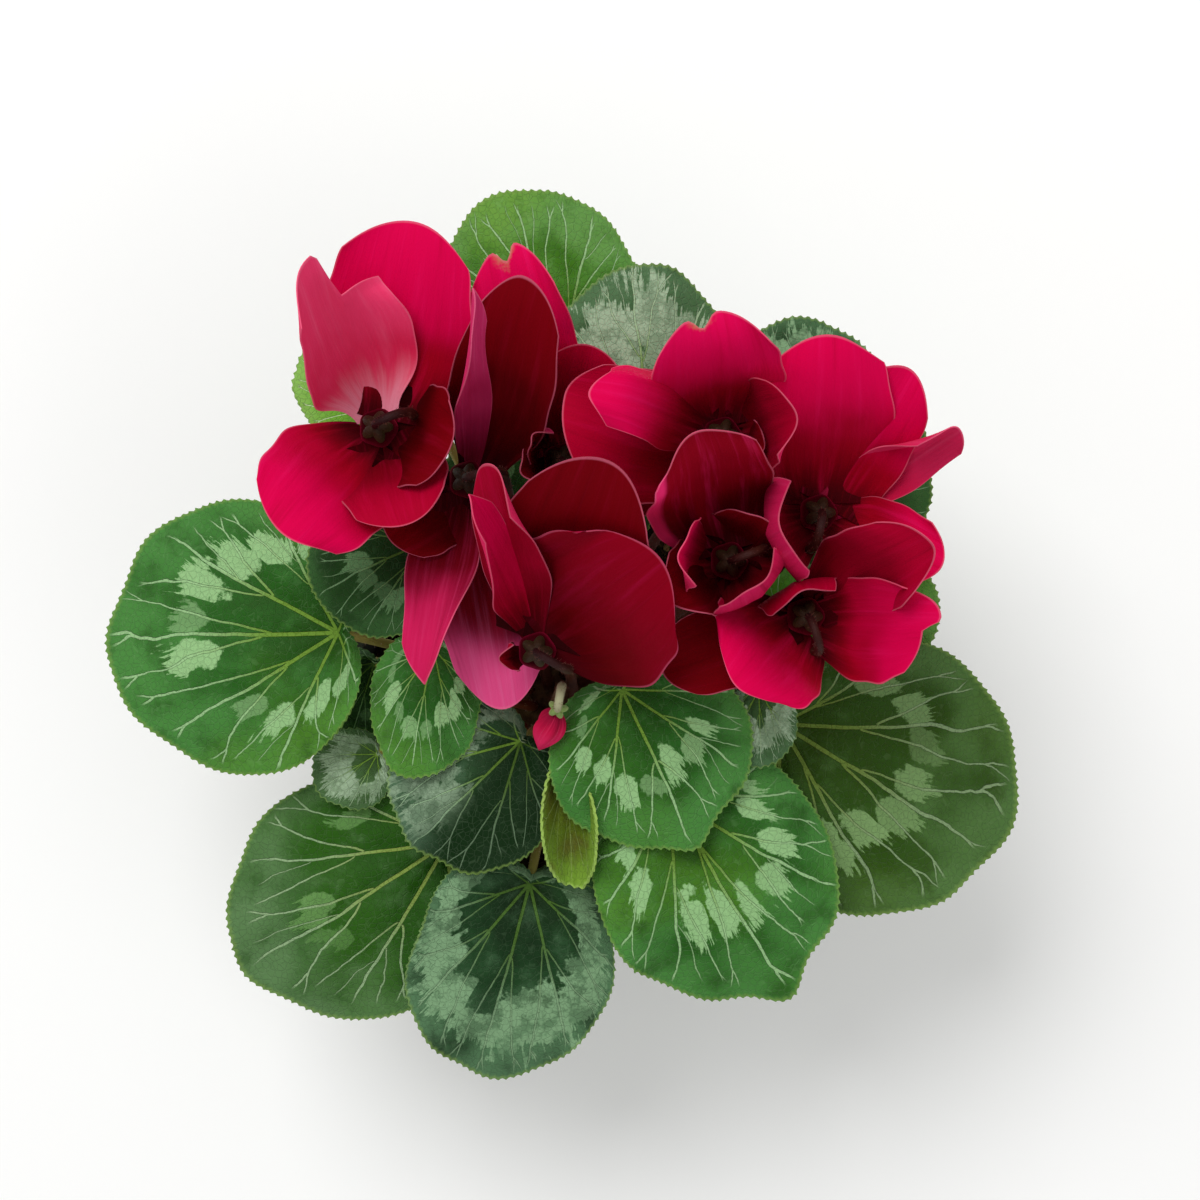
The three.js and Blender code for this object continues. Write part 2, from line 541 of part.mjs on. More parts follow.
/** One petal: broad, rounded at the tip, and turned and cupped more and more towards it. */
function petalSolid(centre, petal) {
  const curve = petalCurve(centre, petal);
  const across = new THREE.Vector3(-heading(petal.azimuth).y, heading(petal.azimuth).x, 0);
  const columnCount = petal.width < PETAL_BROAD ? 2 : 4;
  const points = [];
  for (const share of PETAL_ROWS) {
    for (let column = 0; column <= columnCount; column += 1) {
      const side = (2 * column) / columnCount - 1;
      const along = share * (1 - PETAL_TIP_ROUNDING * side * side * share * share);
      const tangent = curve.getTangent(along);
      const aside = across.clone().applyAxisAngle(tangent, radians(petal.twist) * share);
      const face = tangent.clone().cross(aside).normalize();
      const offset = (side * petal.width * petalWidth(share)) / 2;
      points.push(curve.getPoint(along)
        .addScaledVector(aside, offset)
        .addScaledVector(face, petal.cup * side * side * share));
    }
  }
  const row = columnCount + 1;
  const triangles = [];
  for (let r = 0; r + 1 < PETAL_ROWS.length; r += 1) {
    for (let c = 0; c < columnCount; c += 1) {
      const [a, b] = [r * row + c, r * row + c + 1];
      triangles.push([a, a + row, b + row]);
      triangles.push([a, b + row, b]);
    }
  }
  const last = PETAL_ROWS.length - 1;
  const columns = Array.from({ length: columnCount }, (_, c) => c);
  const rows = Array.from({ length: last }, (_, r) => r);
  const edge = [
    ...rows.map((r) => r * row),
    ...columns.map((c) => last * row + c),
    ...rows.map((r) => (last - r) * row + columnCount),
    ...columns.map((c) => columnCount - c),
  ];
  return solidOf(thicken(points, triangles, edge, PETAL_THICKNESS));
}

/** All of a bloom's petals, grown together at the short tube under the calyx. */
function corollaSolid(bloom) {
  const centre = new THREE.Vector3(...bloom.at);
  const tube = turned([
    [0, TUBE_MOUTH],
    [TUBE_RADIUS * 0.85, TUBE_MOUTH],
    [TUBE_RADIUS, TUBE_MOUTH + 3],
    [TUBE_RADIUS * 0.8, TUBE_TOP],
    [0, TUBE_TOP],
  ], TUBE_SIDES).translate(...bloom.at);
  return bloom.petals.reduce((all, petal) => all.add(petalSolid(centre, petal)), solidOf(tube));
}

/** The five pointed sepals, as a small star-shaped cap. */
function calyxSolid(centre, radius) {
  const points = [
    new THREE.Vector3(0, 0, CALYX_TOP),
    new THREE.Vector3(0, 0, CALYX_RIM + 0.6),
  ];
  const faces = [];
  const corners = 10;
  for (let i = 0; i < corners; i += 1) {
    const out = heading((360 * i) / corners);
    const pointed = i % 2 === 0;
    points.push(out.clone().multiplyScalar(radius * (pointed ? 1 : 0.66)).setZ(
      pointed ? CALYX_RIM : CALYX_RIM + 1.4,
    ));
    const [here, next] = [2 + i, 2 + ((i + 1) % corners)];
    faces.push([0, here, next]);
    faces.push([1, next, here]);
  }
  return solidOf(geometryFrom(points, faces).translate(...centre.toArray()));
}

/** A flower stalk climbs beside its bloom, hooks over and comes down on the calyx. */
function pedunclePoints(bloom, hookReach, hookHeight) {
  const centre = new THREE.Vector3(...bloom.at);
  const side = heading(bloom.side);
  const near = (reach, height) => centre.clone().addScaledVector(side, reach * hookReach)
    .addScaledVector(UP, height * hookHeight);
  const foot = rootPoint(bloom.root, STALK_FOOT);
  const clear = rootPoint(bloom.root, TUBER_TOP + 1);
  const shoulder = near(1, -0.4);
  const climb = shoulder.z - clear.z;
  const crest = near(0.45, 1);
  const rise = new THREE.CubicBezierCurve3(
    clear,
    clear.clone().addScaledVector(UP, climb * 0.4),
    shoulder.clone().addScaledVector(UP, -climb * 0.35),
    shoulder,
  );
  const over = new THREE.CubicBezierCurve3(shoulder, near(1, 0.3), near(0.85, 1), crest);
  const down = new THREE.CubicBezierCurve3(crest, near(0.1, 1), near(0, 0.7), near(0, 0.16));
  return [
    foot,
    ...rise.getPoints(PEDUNCLE_STEPS),
    ...over.getPoints(HOOK_STEPS).slice(1),
    ...down.getPoints(HOOK_END_STEPS).slice(1),
  ];
}

/** A flower stalk with the calyx at its end. */
function stemSolid(bloom, hookReach, hookHeight, calyxRadius) {
  const stalk = solidOf(bar(pedunclePoints(bloom, hookReach, hookHeight), PEDUNCLE_RADIUS));
  return stalk.add(calyxSolid(new THREE.Vector3(...bloom.at), calyxRadius));
}

/** The rolled petals of the bud: a fluted, twisted spindle from the calyx to its point. */
function budSolid() {
  const from = new THREE.Vector3(...BUD.at).addScaledVector(UP, CALYX_RIM - FIT_GAP);
  const to = new THREE.Vector3(...BUD.tip);
  const axis = to.clone().sub(from).normalize();
  const spin = new THREE.Quaternion().setFromUnitVectors(UP, axis);
  const length = to.distanceTo(from);
  const points = [new THREE.Vector3(0, 0, 0), new THREE.Vector3(0, 0, length)];
  for (let ring = 0; ring < BUD_RINGS; ring += 1) {
    const share = (ring + 0.7) / (BUD_RINGS + 0.5);
    const girth = BUD.radius * Math.sin(Math.PI * share ** 0.8);
    for (let i = 0; i < BUD_SIDES; i += 1) {
      const angle = (2 * Math.PI * i) / BUD_SIDES;
      const radius = girth * (1 + BUD_FLUTE * (i % 2 ? 1 : -1));
      const turn = angle + BUD.turns * share;
      points.push(new THREE.Vector3(
        radius * Math.cos(turn),
        radius * Math.sin(turn),
        length * share,
      ));
    }
  }
  const faces = [];
  for (let i = 0; i < BUD_SIDES; i += 1) {
    const next = (i + 1) % BUD_SIDES;
    faces.push([0, 2 + next, 2 + i]);
    for (let ring = 0; ring + 1 < BUD_RINGS; ring += 1) {
      const [low, high] = [2 + ring * BUD_SIDES, 2 + (ring + 1) * BUD_SIDES];
      faces.push([low + i, low + next, high + next]);
      faces.push([low + i, high + next, high + i]);
    }
    const lastRing = 2 + (BUD_RINGS - 1) * BUD_SIDES;
    faces.push([1, lastRing + i, lastRing + next]);
  }
  const placed = points.map((point) => point.applyQuaternion(spin).add(from));
  return solidOf(geometryFrom(placed, faces));
}

// ---------------------------------------------------------------- the plant in its pot

const plant = new THREE.Group();
plant.name = 'potted_cyclamen';
plant.add(piece('pot', potSolid(), COLOURS.pot));
plant.add(piece('soil', soilSolid(), COLOURS.soil));
plant.add(piece('tuber', crownSolid(), COLOURS.tuber));
for (const leaf of LEAVES) {
  plant.add(piece(leaf.name, leafSolid(leaf), COLOURS.leaf));
}
for (const bloom of BLOOMS) {
  const stem = stemSolid(bloom, HOOK_REACH, HOOK_HEIGHT, CALYX_RADIUS);
  plant.add(piece(`${bloom.name}_stem`, stem, COLOURS.stalk));
  plant.add(piece(`${bloom.name}_petals`, corollaSolid(bloom), COLOURS.petal));
}
plant.add(piece(
  `${BUD.name}_stem`,
  stemSolid(BUD, BUD_HOOK_REACH, BUD_HOOK_HEIGHT, BUD_CALYX_RADIUS),
  COLOURS.stalk,
));
plant.add(piece(`${BUD.name}_petals`, budSolid(), COLOURS.petal));

export default plant;
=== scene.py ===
"""A cyclamen in full bloom in its grower's pot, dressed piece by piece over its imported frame."""
import logging
import math
import random
from dataclasses import dataclass
from enum import Enum
from typing import Callable, Iterable, Optional, Sequence, Union

import bmesh
import bpy
from mathutils import Matrix, Quaternion, Vector, noise


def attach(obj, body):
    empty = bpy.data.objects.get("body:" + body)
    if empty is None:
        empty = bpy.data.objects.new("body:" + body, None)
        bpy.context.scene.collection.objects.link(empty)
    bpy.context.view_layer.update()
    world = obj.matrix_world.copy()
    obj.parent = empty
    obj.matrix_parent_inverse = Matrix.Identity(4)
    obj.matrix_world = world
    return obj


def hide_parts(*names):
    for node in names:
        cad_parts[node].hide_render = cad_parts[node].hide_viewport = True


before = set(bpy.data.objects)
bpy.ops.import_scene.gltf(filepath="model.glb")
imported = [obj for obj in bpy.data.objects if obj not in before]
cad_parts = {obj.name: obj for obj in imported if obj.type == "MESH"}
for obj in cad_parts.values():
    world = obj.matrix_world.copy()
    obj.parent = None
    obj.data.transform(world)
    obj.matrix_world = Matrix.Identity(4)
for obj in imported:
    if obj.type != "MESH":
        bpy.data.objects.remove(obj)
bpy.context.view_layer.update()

log = logging.getLogger("cyclamen")

# The plant's own sizes are in millimetres and degrees until a piece is settled.
MM = 0.001
UP = Vector((0.0, 0.0, 1.0))
ORIGIN = Vector((0.0, 0.0, 0.0))
PETALS = 5
STALK_FOOT = 96.0
STALK_CLEAR = 5.0

# On a piece's own map, a leaf's angle is counted in main veins from a number of its own, this far from the
# next leaf's, and a petal reaches this far to either side of its whole number.
MAP = "surface"
LEAF_STEP = 20.0
PETAL_HALF = 0.45

Span = tuple[float, float]
Spot = tuple[float, float, float]
Colour = tuple[float, float, float, float]
Place = Callable[[float, float], Vector]
Chart = Callable[[float, float], Span]
Path = Callable[[float], Vector]
Girth = Callable[[float], float]


def tint(code: str) -> Colour:
    """A colour as the shaders want it.

    Args:
        code: six hexadecimal digits, as a paint chart gives them.

    Returns:
        The colour in linear light, with full cover.
    """
    parts = [int(code[i:i + 2], 16) / 255 for i in (0, 2, 4)]
    red, green, blue = (c / 12.92 if c <= 0.04045 else ((c + 0.055) / 1.055) ** 2.4 for c in parts)
    return (red, green, blue, 1.0)


def clamp(value: float, low: float = 0.0, high: float = 1.0) -> float:
    """A value kept between two limits."""
    return max(low, min(high, value))


def ease(value: float, low: float, high: float) -> float:
    """A smooth rise from nought at one value to one at another."""
    share = clamp((value - low) / (high - low))
    return share * share * (3 - 2 * share)


def heading(degrees: float) -> Vector:
    """A level direction from its angle in degrees, counted from +X towards +Y."""
    return Vector((math.cos(math.radians(degrees)), math.sin(math.radians(degrees)), 0.0))


def foothold(root: Span) -> tuple[Vector, Vector]:
    """Where a stalk leaves the tuber, and where the straight part above it ends.

    Args:
        root: its place on the tuber's crown, as an angle and a distance from the middle.

    Returns:
        The two points.
    """
    foot = heading(root[0]) * root[1] + UP * STALK_FOOT
    return foot, foot + UP * STALK_CLEAR


def rounded(points: Sequence[Span], steps: int) -> list[Span]:
    """A profile with more points on the smooth line through its own.

    Args:
        points: the profile.
        steps: points for each stretch.

    Returns:
        The finer profile.
    """
    last = len(points) - 1
    fine = []
    for i in range(last):
        before, here, there, after = (Vector(points[max(0, min(last, j))]) for j in range(i - 1, i + 3))
        for step in range(steps):
            t = step / steps
            spot = 0.5 * (2 * here + (there - before) * t
                          + (2 * before - 5 * here + 4 * there - after) * t * t
                          + (3 * here - before - 3 * there + after) * t ** 3)
            fine.append((max(spot.x, 0.0), spot.y))
    return fine + [points[-1]]


def mesh_of(name: str, shape: bmesh.types.BMesh) -> bpy.types.Mesh:
    """The finished mesh of a shape, which is then let go.

    Args:
        name: the mesh's name.
        shape: the shape.

    Returns:
        The mesh.
    """
    data = bpy.data.meshes.new(name)
    shape.to_mesh(data)
    shape.free()
    return data


def put(name: str, data: bpy.types.ID) -> bpy.types.Object:
    """Puts a new object in the scene.

    Args:
        name: its name.
        data: the mesh, light or camera that it shows.

    Returns:
        The object.
    """
    made = bpy.data.objects.new(name, data)
    bpy.context.scene.collection.objects.link(made)
    return made


@dataclass(frozen=True)
class Bend:
    """A smooth curve between two points, drawn by two handles."""

    start: Vector
    leave: Vector
    arrive: Vector
    end: Vector

    def at(self, share: float) -> Vector:
        """The point at a share of the curve."""
        rest = 1 - share
        return (self.start * rest ** 3 + self.leave * (3 * rest * rest * share)
                + self.arrive * (3 * rest * share * share) + self.end * share ** 3)

    def run(self, share: float) -> Vector:
        """The direction of travel at a share of the curve."""
        rest = 1 - share
        return ((self.leave - self.start) * (rest * rest) + (self.arrive - self.leave) * (2 * rest * share)
                + (self.end - self.arrive) * (share * share)).normalized()


# ---------------------------------------------------------------- shader bench


class Wire:
    """A shader socket that takes part in Python sums."""

    def __init__(self, bench: "Bench", socket: bpy.types.NodeSocket) -> None:
        """Keeps the socket and the bench that it is on."""
        self.bench = bench
        self.socket = socket

    def __add__(self, other: "Value") -> "Wire":
        """This plus another value."""
        return self.bench.sum("ADD", self, other)

    def __sub__(self, other: "Value") -> "Wire":
        """This less another value."""
        return self.bench.sum("SUBTRACT", self, other)

    def __rsub__(self, other: "Value") -> "Wire":
        """Another value less this."""
        return self.bench.sum("SUBTRACT", other, self)

    def __mul__(self, other: "Value") -> "Wire":
        """This times another value."""
        return self.bench.sum("MULTIPLY", self, other)

    def __truediv__(self, other: "Value") -> "Wire":
        """This divided by another value."""
        return self.bench.sum("DIVIDE", self, other)

    def __rtruediv__(self, other: "Value") -> "Wire":
        """Another value divided by this."""
        return self.bench.sum("DIVIDE", other, self)

    def __pow__(self, other: "Value") -> "Wire":
        """This raised to a power."""
        return self.bench.sum("POWER", self, other)

    def __abs__(self) -> "Wire":
        """This without its sign."""
        return self.bench.sum("ABSOLUTE", self)

    __radd__ = __add__
    __rmul__ = __mul__


Value = Union[Wire, float]
Shade = Union[Wire, str]


@dataclass(frozen=True)
class Grain:
    """A cloudy pattern: its scale, how many finer steps it has, and how strong those are."""

    scale: float
    detail: float = 2.0
    rough: float = 0.5


class Bench:
    """One material being put together from nodes."""

    def __init__(self, name: str) -> None:
        """Starts an empty material.

        Args:
            name: its name.
        """
        self.material = bpy.data.materials.new(name)
        self.material.use_nodes = True
        self.tree = self.material.node_tree
        self.tree.nodes.clear()

    def node(self, kind: str, settings: Optional[dict] = None,
             sockets: Optional[dict] = None) -> bpy.types.Node:
        """Adds any node.

        Args:
            kind: the node's type, without its common beginning.
            settings: what is set on the node itself, before its sockets.
            sockets: a value or a wire for each socket, by name or number.

        Returns:
            The node.
        """
        made = self.tree.nodes.new("ShaderNode" + kind)
        for key, value in (settings or {}).items():
            setattr(made, key, value)
        for key, value in (sockets or {}).items():
            if isinstance(value, Wire):
                self.tree.links.new(value.socket, made.inputs[key])
            else:
                made.inputs[key].default_value = value
        return made

    def wire(self, node: bpy.types.Node, output: Union[str, int] = 0) -> Wire:
        """One of a node's outputs as a wire."""
        return Wire(self, node.outputs[output])

    def sum(self, operation: str, *values: Value) -> Wire:
        """A sum on one, two or three values."""
        return self.wire(self.node("Math", {"operation": operation}, dict(enumerate(values))))

    def step(self, value: Value, low: Value, high: Value) -> Wire:
        """A smooth rise from nought at low to one at high, or a fall where low is the greater."""
        return self.wire(self.node("MapRange", {"interpolation_type": "SMOOTHSTEP"},
                                   {"Value": value, "From Min": low, "From Max": high}))

    def paint(self, under: Shade, *layers: tuple[Shade, Value]) -> Wire:
        """Layers of colour, each laid over those before it.

        Args:
            under: the colour beneath them all.
            *layers: each layer's colour, and how much of it is laid on.

        Returns:
            The colour on top.
        """
        for shade, cover in layers:
            first, second = (tint(one) if isinstance(one, str) else one for one in (under, shade))
            under = self.wire(self.node("Mix", {"data_type": "RGBA"}, {0: cover, 6: first, 7: second}), 2)
        return under

    def place(self) -> Wire:
        """The place on the plant, in metres."""
        return self.wire(self.node("TexCoord"), "Object")

    def chart(self) -> tuple[Wire, Wire]:
        """The two coordinates of the piece's own map."""
        split = self.node("SeparateXYZ", sockets={0: self.wire(self.node("UVMap", {"uv_map": MAP}))})
        return self.wire(split, 0), self.wire(split, 1)

    def vector(self, x: Value, y: Value, z: Value = 0.0) -> Wire:
        """Three values as one vector."""
        return self.wire(self.node("CombineXYZ", sockets={0: x, 1: y, 2: z}))

    def stretched(self, vector: Wire, scale: Spot) -> Wire:
        """A vector scaled along each axis."""
        return self.wire(self.node("Mapping", sockets={"Vector": vector, "Scale": scale}))

    def cloud(self, vector: Wire, grain: Grain) -> Wire:
        """A cloudy pattern between nought and one."""
        return self.wire(self.node("TexNoise", sockets={
            "Vector": vector, "Scale": grain.scale, "Detail": grain.detail, "Roughness": grain.rough}))

    def chance(self, seed: Value) -> tuple[Wire, Wire, Wire]:
        """Three numbers drawn by lot.

        Args:
            seed: what they are drawn for.

        Returns:
            The numbers, from nought to one.
        """
        lot = self.wire(self.node("TexWhiteNoise", {"noise_dimensions": "1D"}, {"W": seed}), 1)
        split = self.node("SeparateColor", sockets={0: lot})
        return self.wire(split, 0), self.wire(split, 1), self.wire(split, 2)

    def net(self, vector: Wire, cells: float) -> Wire:
        """A mesh of thin lines round cells, so many to the metre."""
        gap = self.node("TexVoronoi", {"feature": "DISTANCE_TO_EDGE"}, {"Vector": vector, "Scale": cells})
        return self.step(self.wire(gap), 0.1, 0.0)

    def close(self, colour: Wire, rough: Value, relief: Wire, depth: float,
              **constants: Union[float, Colour]) -> bpy.types.Material:
        """Ends the material in one shader.

        Args:
            colour: the surface colour.
            rough: its roughness.
            relief: its relief, from nought to one.
            depth: how deep the relief is, in metres.
            **constants: settings of the shader that are the same all over, with _ for a space.

        Returns:
            The material.
        """
        bump = self.node("Bump", sockets={"Strength": 1.0, "Distance": depth, "Height": relief})
        sockets = {"Base Color": colour, "Roughness": rough, "Normal": self.wire(bump)}
        sockets.update({key.replace("_", " "): value for key, value in constants.items()})
        shader = self.wire(self.node("BsdfPrincipled", sockets=sockets))
        self.node("OutputMaterial", sockets={0: shader})
        return self.material


# ---------------------------------------------------------------- finishes


@dataclass(frozen=True)
class LeafFinish:
    """The upper side of a leaf: palmate veins that fork, and a broken ring of silver between them."""

    name: str
    # The heart is the colour by the stalk: the leaf's own deeper green, darkened further as painted shade of
    # the plant's middle; the shaded half is laid in it too.
    heart: str = "1d4708"
    middle: str = "245a18"
    outer: str = "447f38"
    silver: str = "93be82"
    vein: str = "6f9433"
    vein_tip: str = "98c088"
    tooth: str = "7d9c4c"
    flush: str = "5c8c1c"
    # The silver: how much of its ring is there, where that lies, how deep it is, and how far it is a band.
    cover: float = 0.8
    silver_at: float = 0.56
    silver_reach: float = 0.1
    band: float = 0.0
    # How dark the half away from the light is, and how clearly the veins stand out.
    shaded: float = 0.0
    vein_show: float = 0.85
    rough: float = 0.46
    depth: float = 0.0013
    # The patterns: two that bend the veins, those of the green, and those of the silver.
    drift: Grain = Grain(55.0, 1.0)
    flutter: Grain = Grain(300.0)
    wash: Grain = Grain(24.0, 1.0)
    mottle: Grain = Grain(110.0, 5.0, 0.6)
    skin: Grain = Grain(1500.0, 3.0, 0.7)
    pads: Grain = Grain(210.0, 1.0)
    comb: Grain = Grain(1.0, 4.0, 0.7)
    crumble: Grain = Grain(700.0, 4.0, 0.7)
    lumps: Grain = Grain(150.0, 3.0)
    holes: Grain = Grain(170.0, 4.0, 0.7)
    cells: float = 620.0
    # How far the veins are bent at large and in small, how their branches bow, and how wide they fork.
    wander: float = 0.34
    tremble: float = 0.04
    branch_bow: float = 0.52
    fork_spread: float = 0.55
    vein_blur: float = 0.005

    def material(self) -> bpy.types.Material:
        """Puts the finish together.

        Returns:
            The material.
        """
        bench = Bench("leaf_" + self.name)
        turn, share = bench.chart()
        where = bench.place()
        # Painted shade: the half of the blade turned from the light is laid over in the dark heart colour,
        # loses its silver and shows its veins less.
        from_middle = turn - bench.sum("ROUND", turn / LEAF_STEP) * LEAF_STEP
        shaded_half = bench.step(from_middle, -0.5, 0.4) * self.shaded
        drift = bench.cloud(where, self.drift) - 0.5
        flutter = bench.cloud(where, self.flutter) - 0.5
        turn = turn + drift * share * self.wander + flutter * self.tremble
        veins = self.veins(bench, turn, share)
        silver = self.blotches(bench, turn, share, where) * (1.0 - shaded_half)
        mottle = bench.cloud(where, self.mottle)
        skin = bench.cloud(where, self.skin)
        net = bench.net(where, self.cells)
        vein_colour = bench.paint(self.vein, (self.vein_tip, bench.step(share, 0.25, 0.7)))
        # Darker towards the stalk: the leaf's own deeper green there, and painted shade where the leaves'
        # middles lie under the flowers.
        colour = bench.paint(
            self.heart,
            (self.middle, bench.step(share, 0.05, 0.5)),
            (self.outer, bench.step(share + drift * 0.8, 0.55, 1.0)),
            (self.flush, bench.step(bench.cloud(where, self.wash), 0.45, 0.7) * 0.4),
            (self.heart, shaded_half),
            (self.outer, bench.step(mottle, 0.48, 0.72) * (0.4 - shaded_half * 0.36)),
            (self.heart, bench.step(mottle, 0.52, 0.28) * 0.6),
            (self.silver, silver * (0.7 + skin * 0.4)),
            (self.vein_tip, net * 0.07),
            (vein_colour, veins * (1.0 - shaded_half * 0.6) * self.vein_show),
            (self.tooth, bench.step(share, 0.972, 0.999) * 0.55))
        rough = self.rough + mottle * 0.15 + silver * 0.1
        padded = bench.cloud(where, self.pads)
        relief = 0.45 - veins * 0.4 - net * 0.1 + skin * 0.12 + mottle * 0.1 + padded * 0.5
        return bench.close(colour, rough, relief, self.depth, Specular_IOR_Level=0.1)

    def veins(self, bench: Bench, turn: Wire, share: Wire) -> Wire:
        """The main veins, each with a branch on either side that forks once more.

        Args:
            bench: the material's bench.
            turn: the angle round the stalk, counted in main veins.
            share: the share of the way to the margin.

        Returns:
            One on a vein and nought beside it.
        """
        index = bench.sum("ROUND", turn)
        off = turn - index
        side = bench.sum("SIGN", off)
        off = abs(off)
        early, spread, late = bench.chance(index * 2.0 + side * 0.5 + 0.25)

        def run(fork: Wire) -> Wire:
            """How far along a branch is, from nought at its fork to one at the margin."""
            return bench.sum("MAXIMUM", share - fork, 0.0) / (0.96 - fork)

        def line(away: Wire, half: Value, split_at: Value) -> Wire:
            """A line where the distance is under half its width, in two past a share of the way."""
            split = bench.sum("MAXIMUM", share - split_at, 0.0) * self.fork_spread
            return bench.step(abs(abs(away) - split) * share, half + self.vein_blur, half)

        low, high = run(0.2 + early * 0.24), run(0.5 + late * 0.2)
        lean_low, lean_high = 0.4 + spread * 0.1, 0.18 + early * 0.08
        main = line(off, 0.0165 - share * 0.0085, 0.84 + early * 0.1)
        first = line(off - lean_low * low ** self.branch_bow, 0.009 - share * 0.003, 0.8 + late * 0.1)
        second = line(off - lean_high * high ** self.branch_bow, 0.0045, 0.97)
        first = first * bench.step(low, 0.0, 0.02)
        second = second * bench.step(high, 0.0, 0.02) * bench.step(spread, 0.55, 0.6) * 0.8
        end = bench.step(share + spread * 0.12, 1.0, 0.95)
        return bench.sum("MAXIMUM", main, bench.sum("MAXIMUM", first, second)) * end

    def blotches(self, bench: Bench, turn: Wire, share: Wire, where: Wire) -> Wire:
        """The silver blotches, round towards the stalk and combed out towards the margin.

        Args:
            bench: the material's bench.
            turn: the angle round the stalk, counted in main veins.
            share: the share of the way to the margin.
            where: the place on the plant.

        Returns:
            One on a blotch and nought beside it.
        """
        half = turn * 2.0
        index = bench.sum("FLOOR", half)
        off = half - index - 0.5
        high, long, wide = bench.chance(index * 1.7 + 31.3)
        middle = self.silver_at - 0.04 + high * 0.12
        reach = self.silver_reach * (0.6 + long * 0.7)
        comb = bench.cloud(bench.vector(turn * 15.0, share * 2.4), self.comb) - 0.5
        crumble = bench.cloud(where, self.crumble) - 0.5
        beyond = (share - middle) / reach
        off = (off - wide * 0.12) / (0.34 + wide * 0.2) * (1.0 - self.band)
        away = (off * off + beyond * beyond) ** 0.5
        outer = bench.step(beyond, 0.0, 1.0)
        lumpy = bench.cloud(where, self.lumps) - 0.5
        ragged = away + comb * (0.3 + outer * 3.2) + crumble * 0.7 + lumpy * (2.0 + self.band * 1.4)
        there = bench.step(wide * 0.3 + high * 0.7, 1.0 - self.cover, 1.04 - self.cover)
        body = 0.45 + self.band * 0.55 + bench.step(long, 0.1, 0.6) * (0.55 - self.band * 0.55)
        holes = bench.step(bench.cloud(where, self.holes), 0.55, 0.42) * self.band
        return bench.step(ragged, 1.14, 0.94) * there * body * (1.0 - holes * 0.75)


class LeafLook(Enum):
    """The leaves' colourings, from dark ones to pale young ones; the darkest of them carry painted shade."""

    MARBLED = LeafFinish("marbled")
    DUSKY = LeafFinish("dusky", heart="2a4405", middle="294a0c", outer="4c7038", silver="7a9c62",
                       vein="6c8436", vein_tip="86a074", flush="41600c", cover=0.75)
    WORN = LeafFinish("worn", heart="1e4a06", middle="265410", outer="567a4a", silver="628e4c",
                      vein="88a04a", vein_tip="93b083", flush="30600c", cover=0.5, silver_reach=0.08)
    BRIGHT = LeafFinish("bright", heart="2e5e0c", middle="3e7418", outer="5e9044", silver="a3c184",
                        flush="6c9c1c", cover=0.5)
    SILVERED = LeafFinish("silvered", heart="233f18", middle="365831", outer="4c6f48", silver="a0b898",
                          cover=1.0, silver_reach=0.24, band=0.6, flush="4c6a34", vein_tip="9cb890")
    # The folded leaf: its near-black heart colour is laid over its shaded half as painted shade beside the
    # fold.
    FOLDED_SHADED = LeafFinish("folded", heart="082606", middle="2c4c2c", outer="56765a", silver="8aa285",
                        cover=1.0, silver_at=0.62, silver_reach=0.22, band=0.7, shaded=1.0, flush="34502c",
                        vein_tip="8fae88")
    # The greyed leaves' near-black heart is painted shade from the flowers above, darker than the leaf's own
    # green.
    GREYED = LeafFinish("greyed", heart="061c04", middle="1a3c1c", outer="4f7450", silver="7da178",
                        cover=1.0, silver_at=0.7, silver_reach=0.15, band=0.8, rough=0.52, flush="2c4c24",
                        vein="54782c", vein_tip="7f9f78", vein_show=0.6)
    # The deep leaves lie low under the flowers: their dark greens are the leaf colour darkened with painted
    # shade.
    DEEP = LeafFinish("deep", heart="0e2806", middle="183a0f", outer="335a2c", silver="5d8355",
                      vein="4c6a26", vein_tip="6f9366", flush="24440c", cover=0.6)
    YOUNG = LeafFinish("young", heart="4c8412", middle="66a02c", outer="83b452", silver="b5d78f",
                       vein="b4d488", vein_tip="c9e4ac", flush="78b030", cover=0.0)
    FURLED = LeafFinish("furled", heart="5c4a26", middle="62701e", outer="7ea03a", silver="b5d78f",
                        vein="8a9448", vein_tip="a8c070", tooth="a8c868", cover=0.0, vein_show=0.5)


@dataclass(frozen=True)
class UndersideFinish:
    """The under side of a leaf, pale green flushed with wine, its veins standing out."""

    pale: str = "8fae7a"
    flush: str = "7d4a55"
    vein: str = "b9c48e"
    drift: Grain = Grain(55.0, 1.0)
    wash: Grain = Grain(45.0, 4.0, 0.6)
    skin: Grain = Grain(1200.0, 3.0)
    cells: float = 380.0
    wander: float = 0.3
    depth: float = 0.0005

    def material(self) -> bpy.types.Material:
        """Puts the finish together.

        Returns:
            The material.
        """
        bench = Bench("leaf_underside")
        turn, share = bench.chart()
        where = bench.place()
        turn = turn + (bench.cloud(where, self.drift) - 0.5) * share * self.wander
        veins = LeafFinish("under").veins(bench, turn, share)
        wash = bench.cloud(where, self.wash)
        colour = bench.paint(self.pale, (self.flush, bench.step(wash, 0.42, 0.7) * 0.55),
                             (self.vein, bench.net(where, self.cells) * 0.2), (self.vein, veins * 0.8))
        relief = 0.2 + veins * 0.6 + bench.cloud(where, self.skin) * 0.2
        return bench.close(colour, 0.5 + wash * 0.15, relief, self.depth, Specular_IOR_Level=0.3)


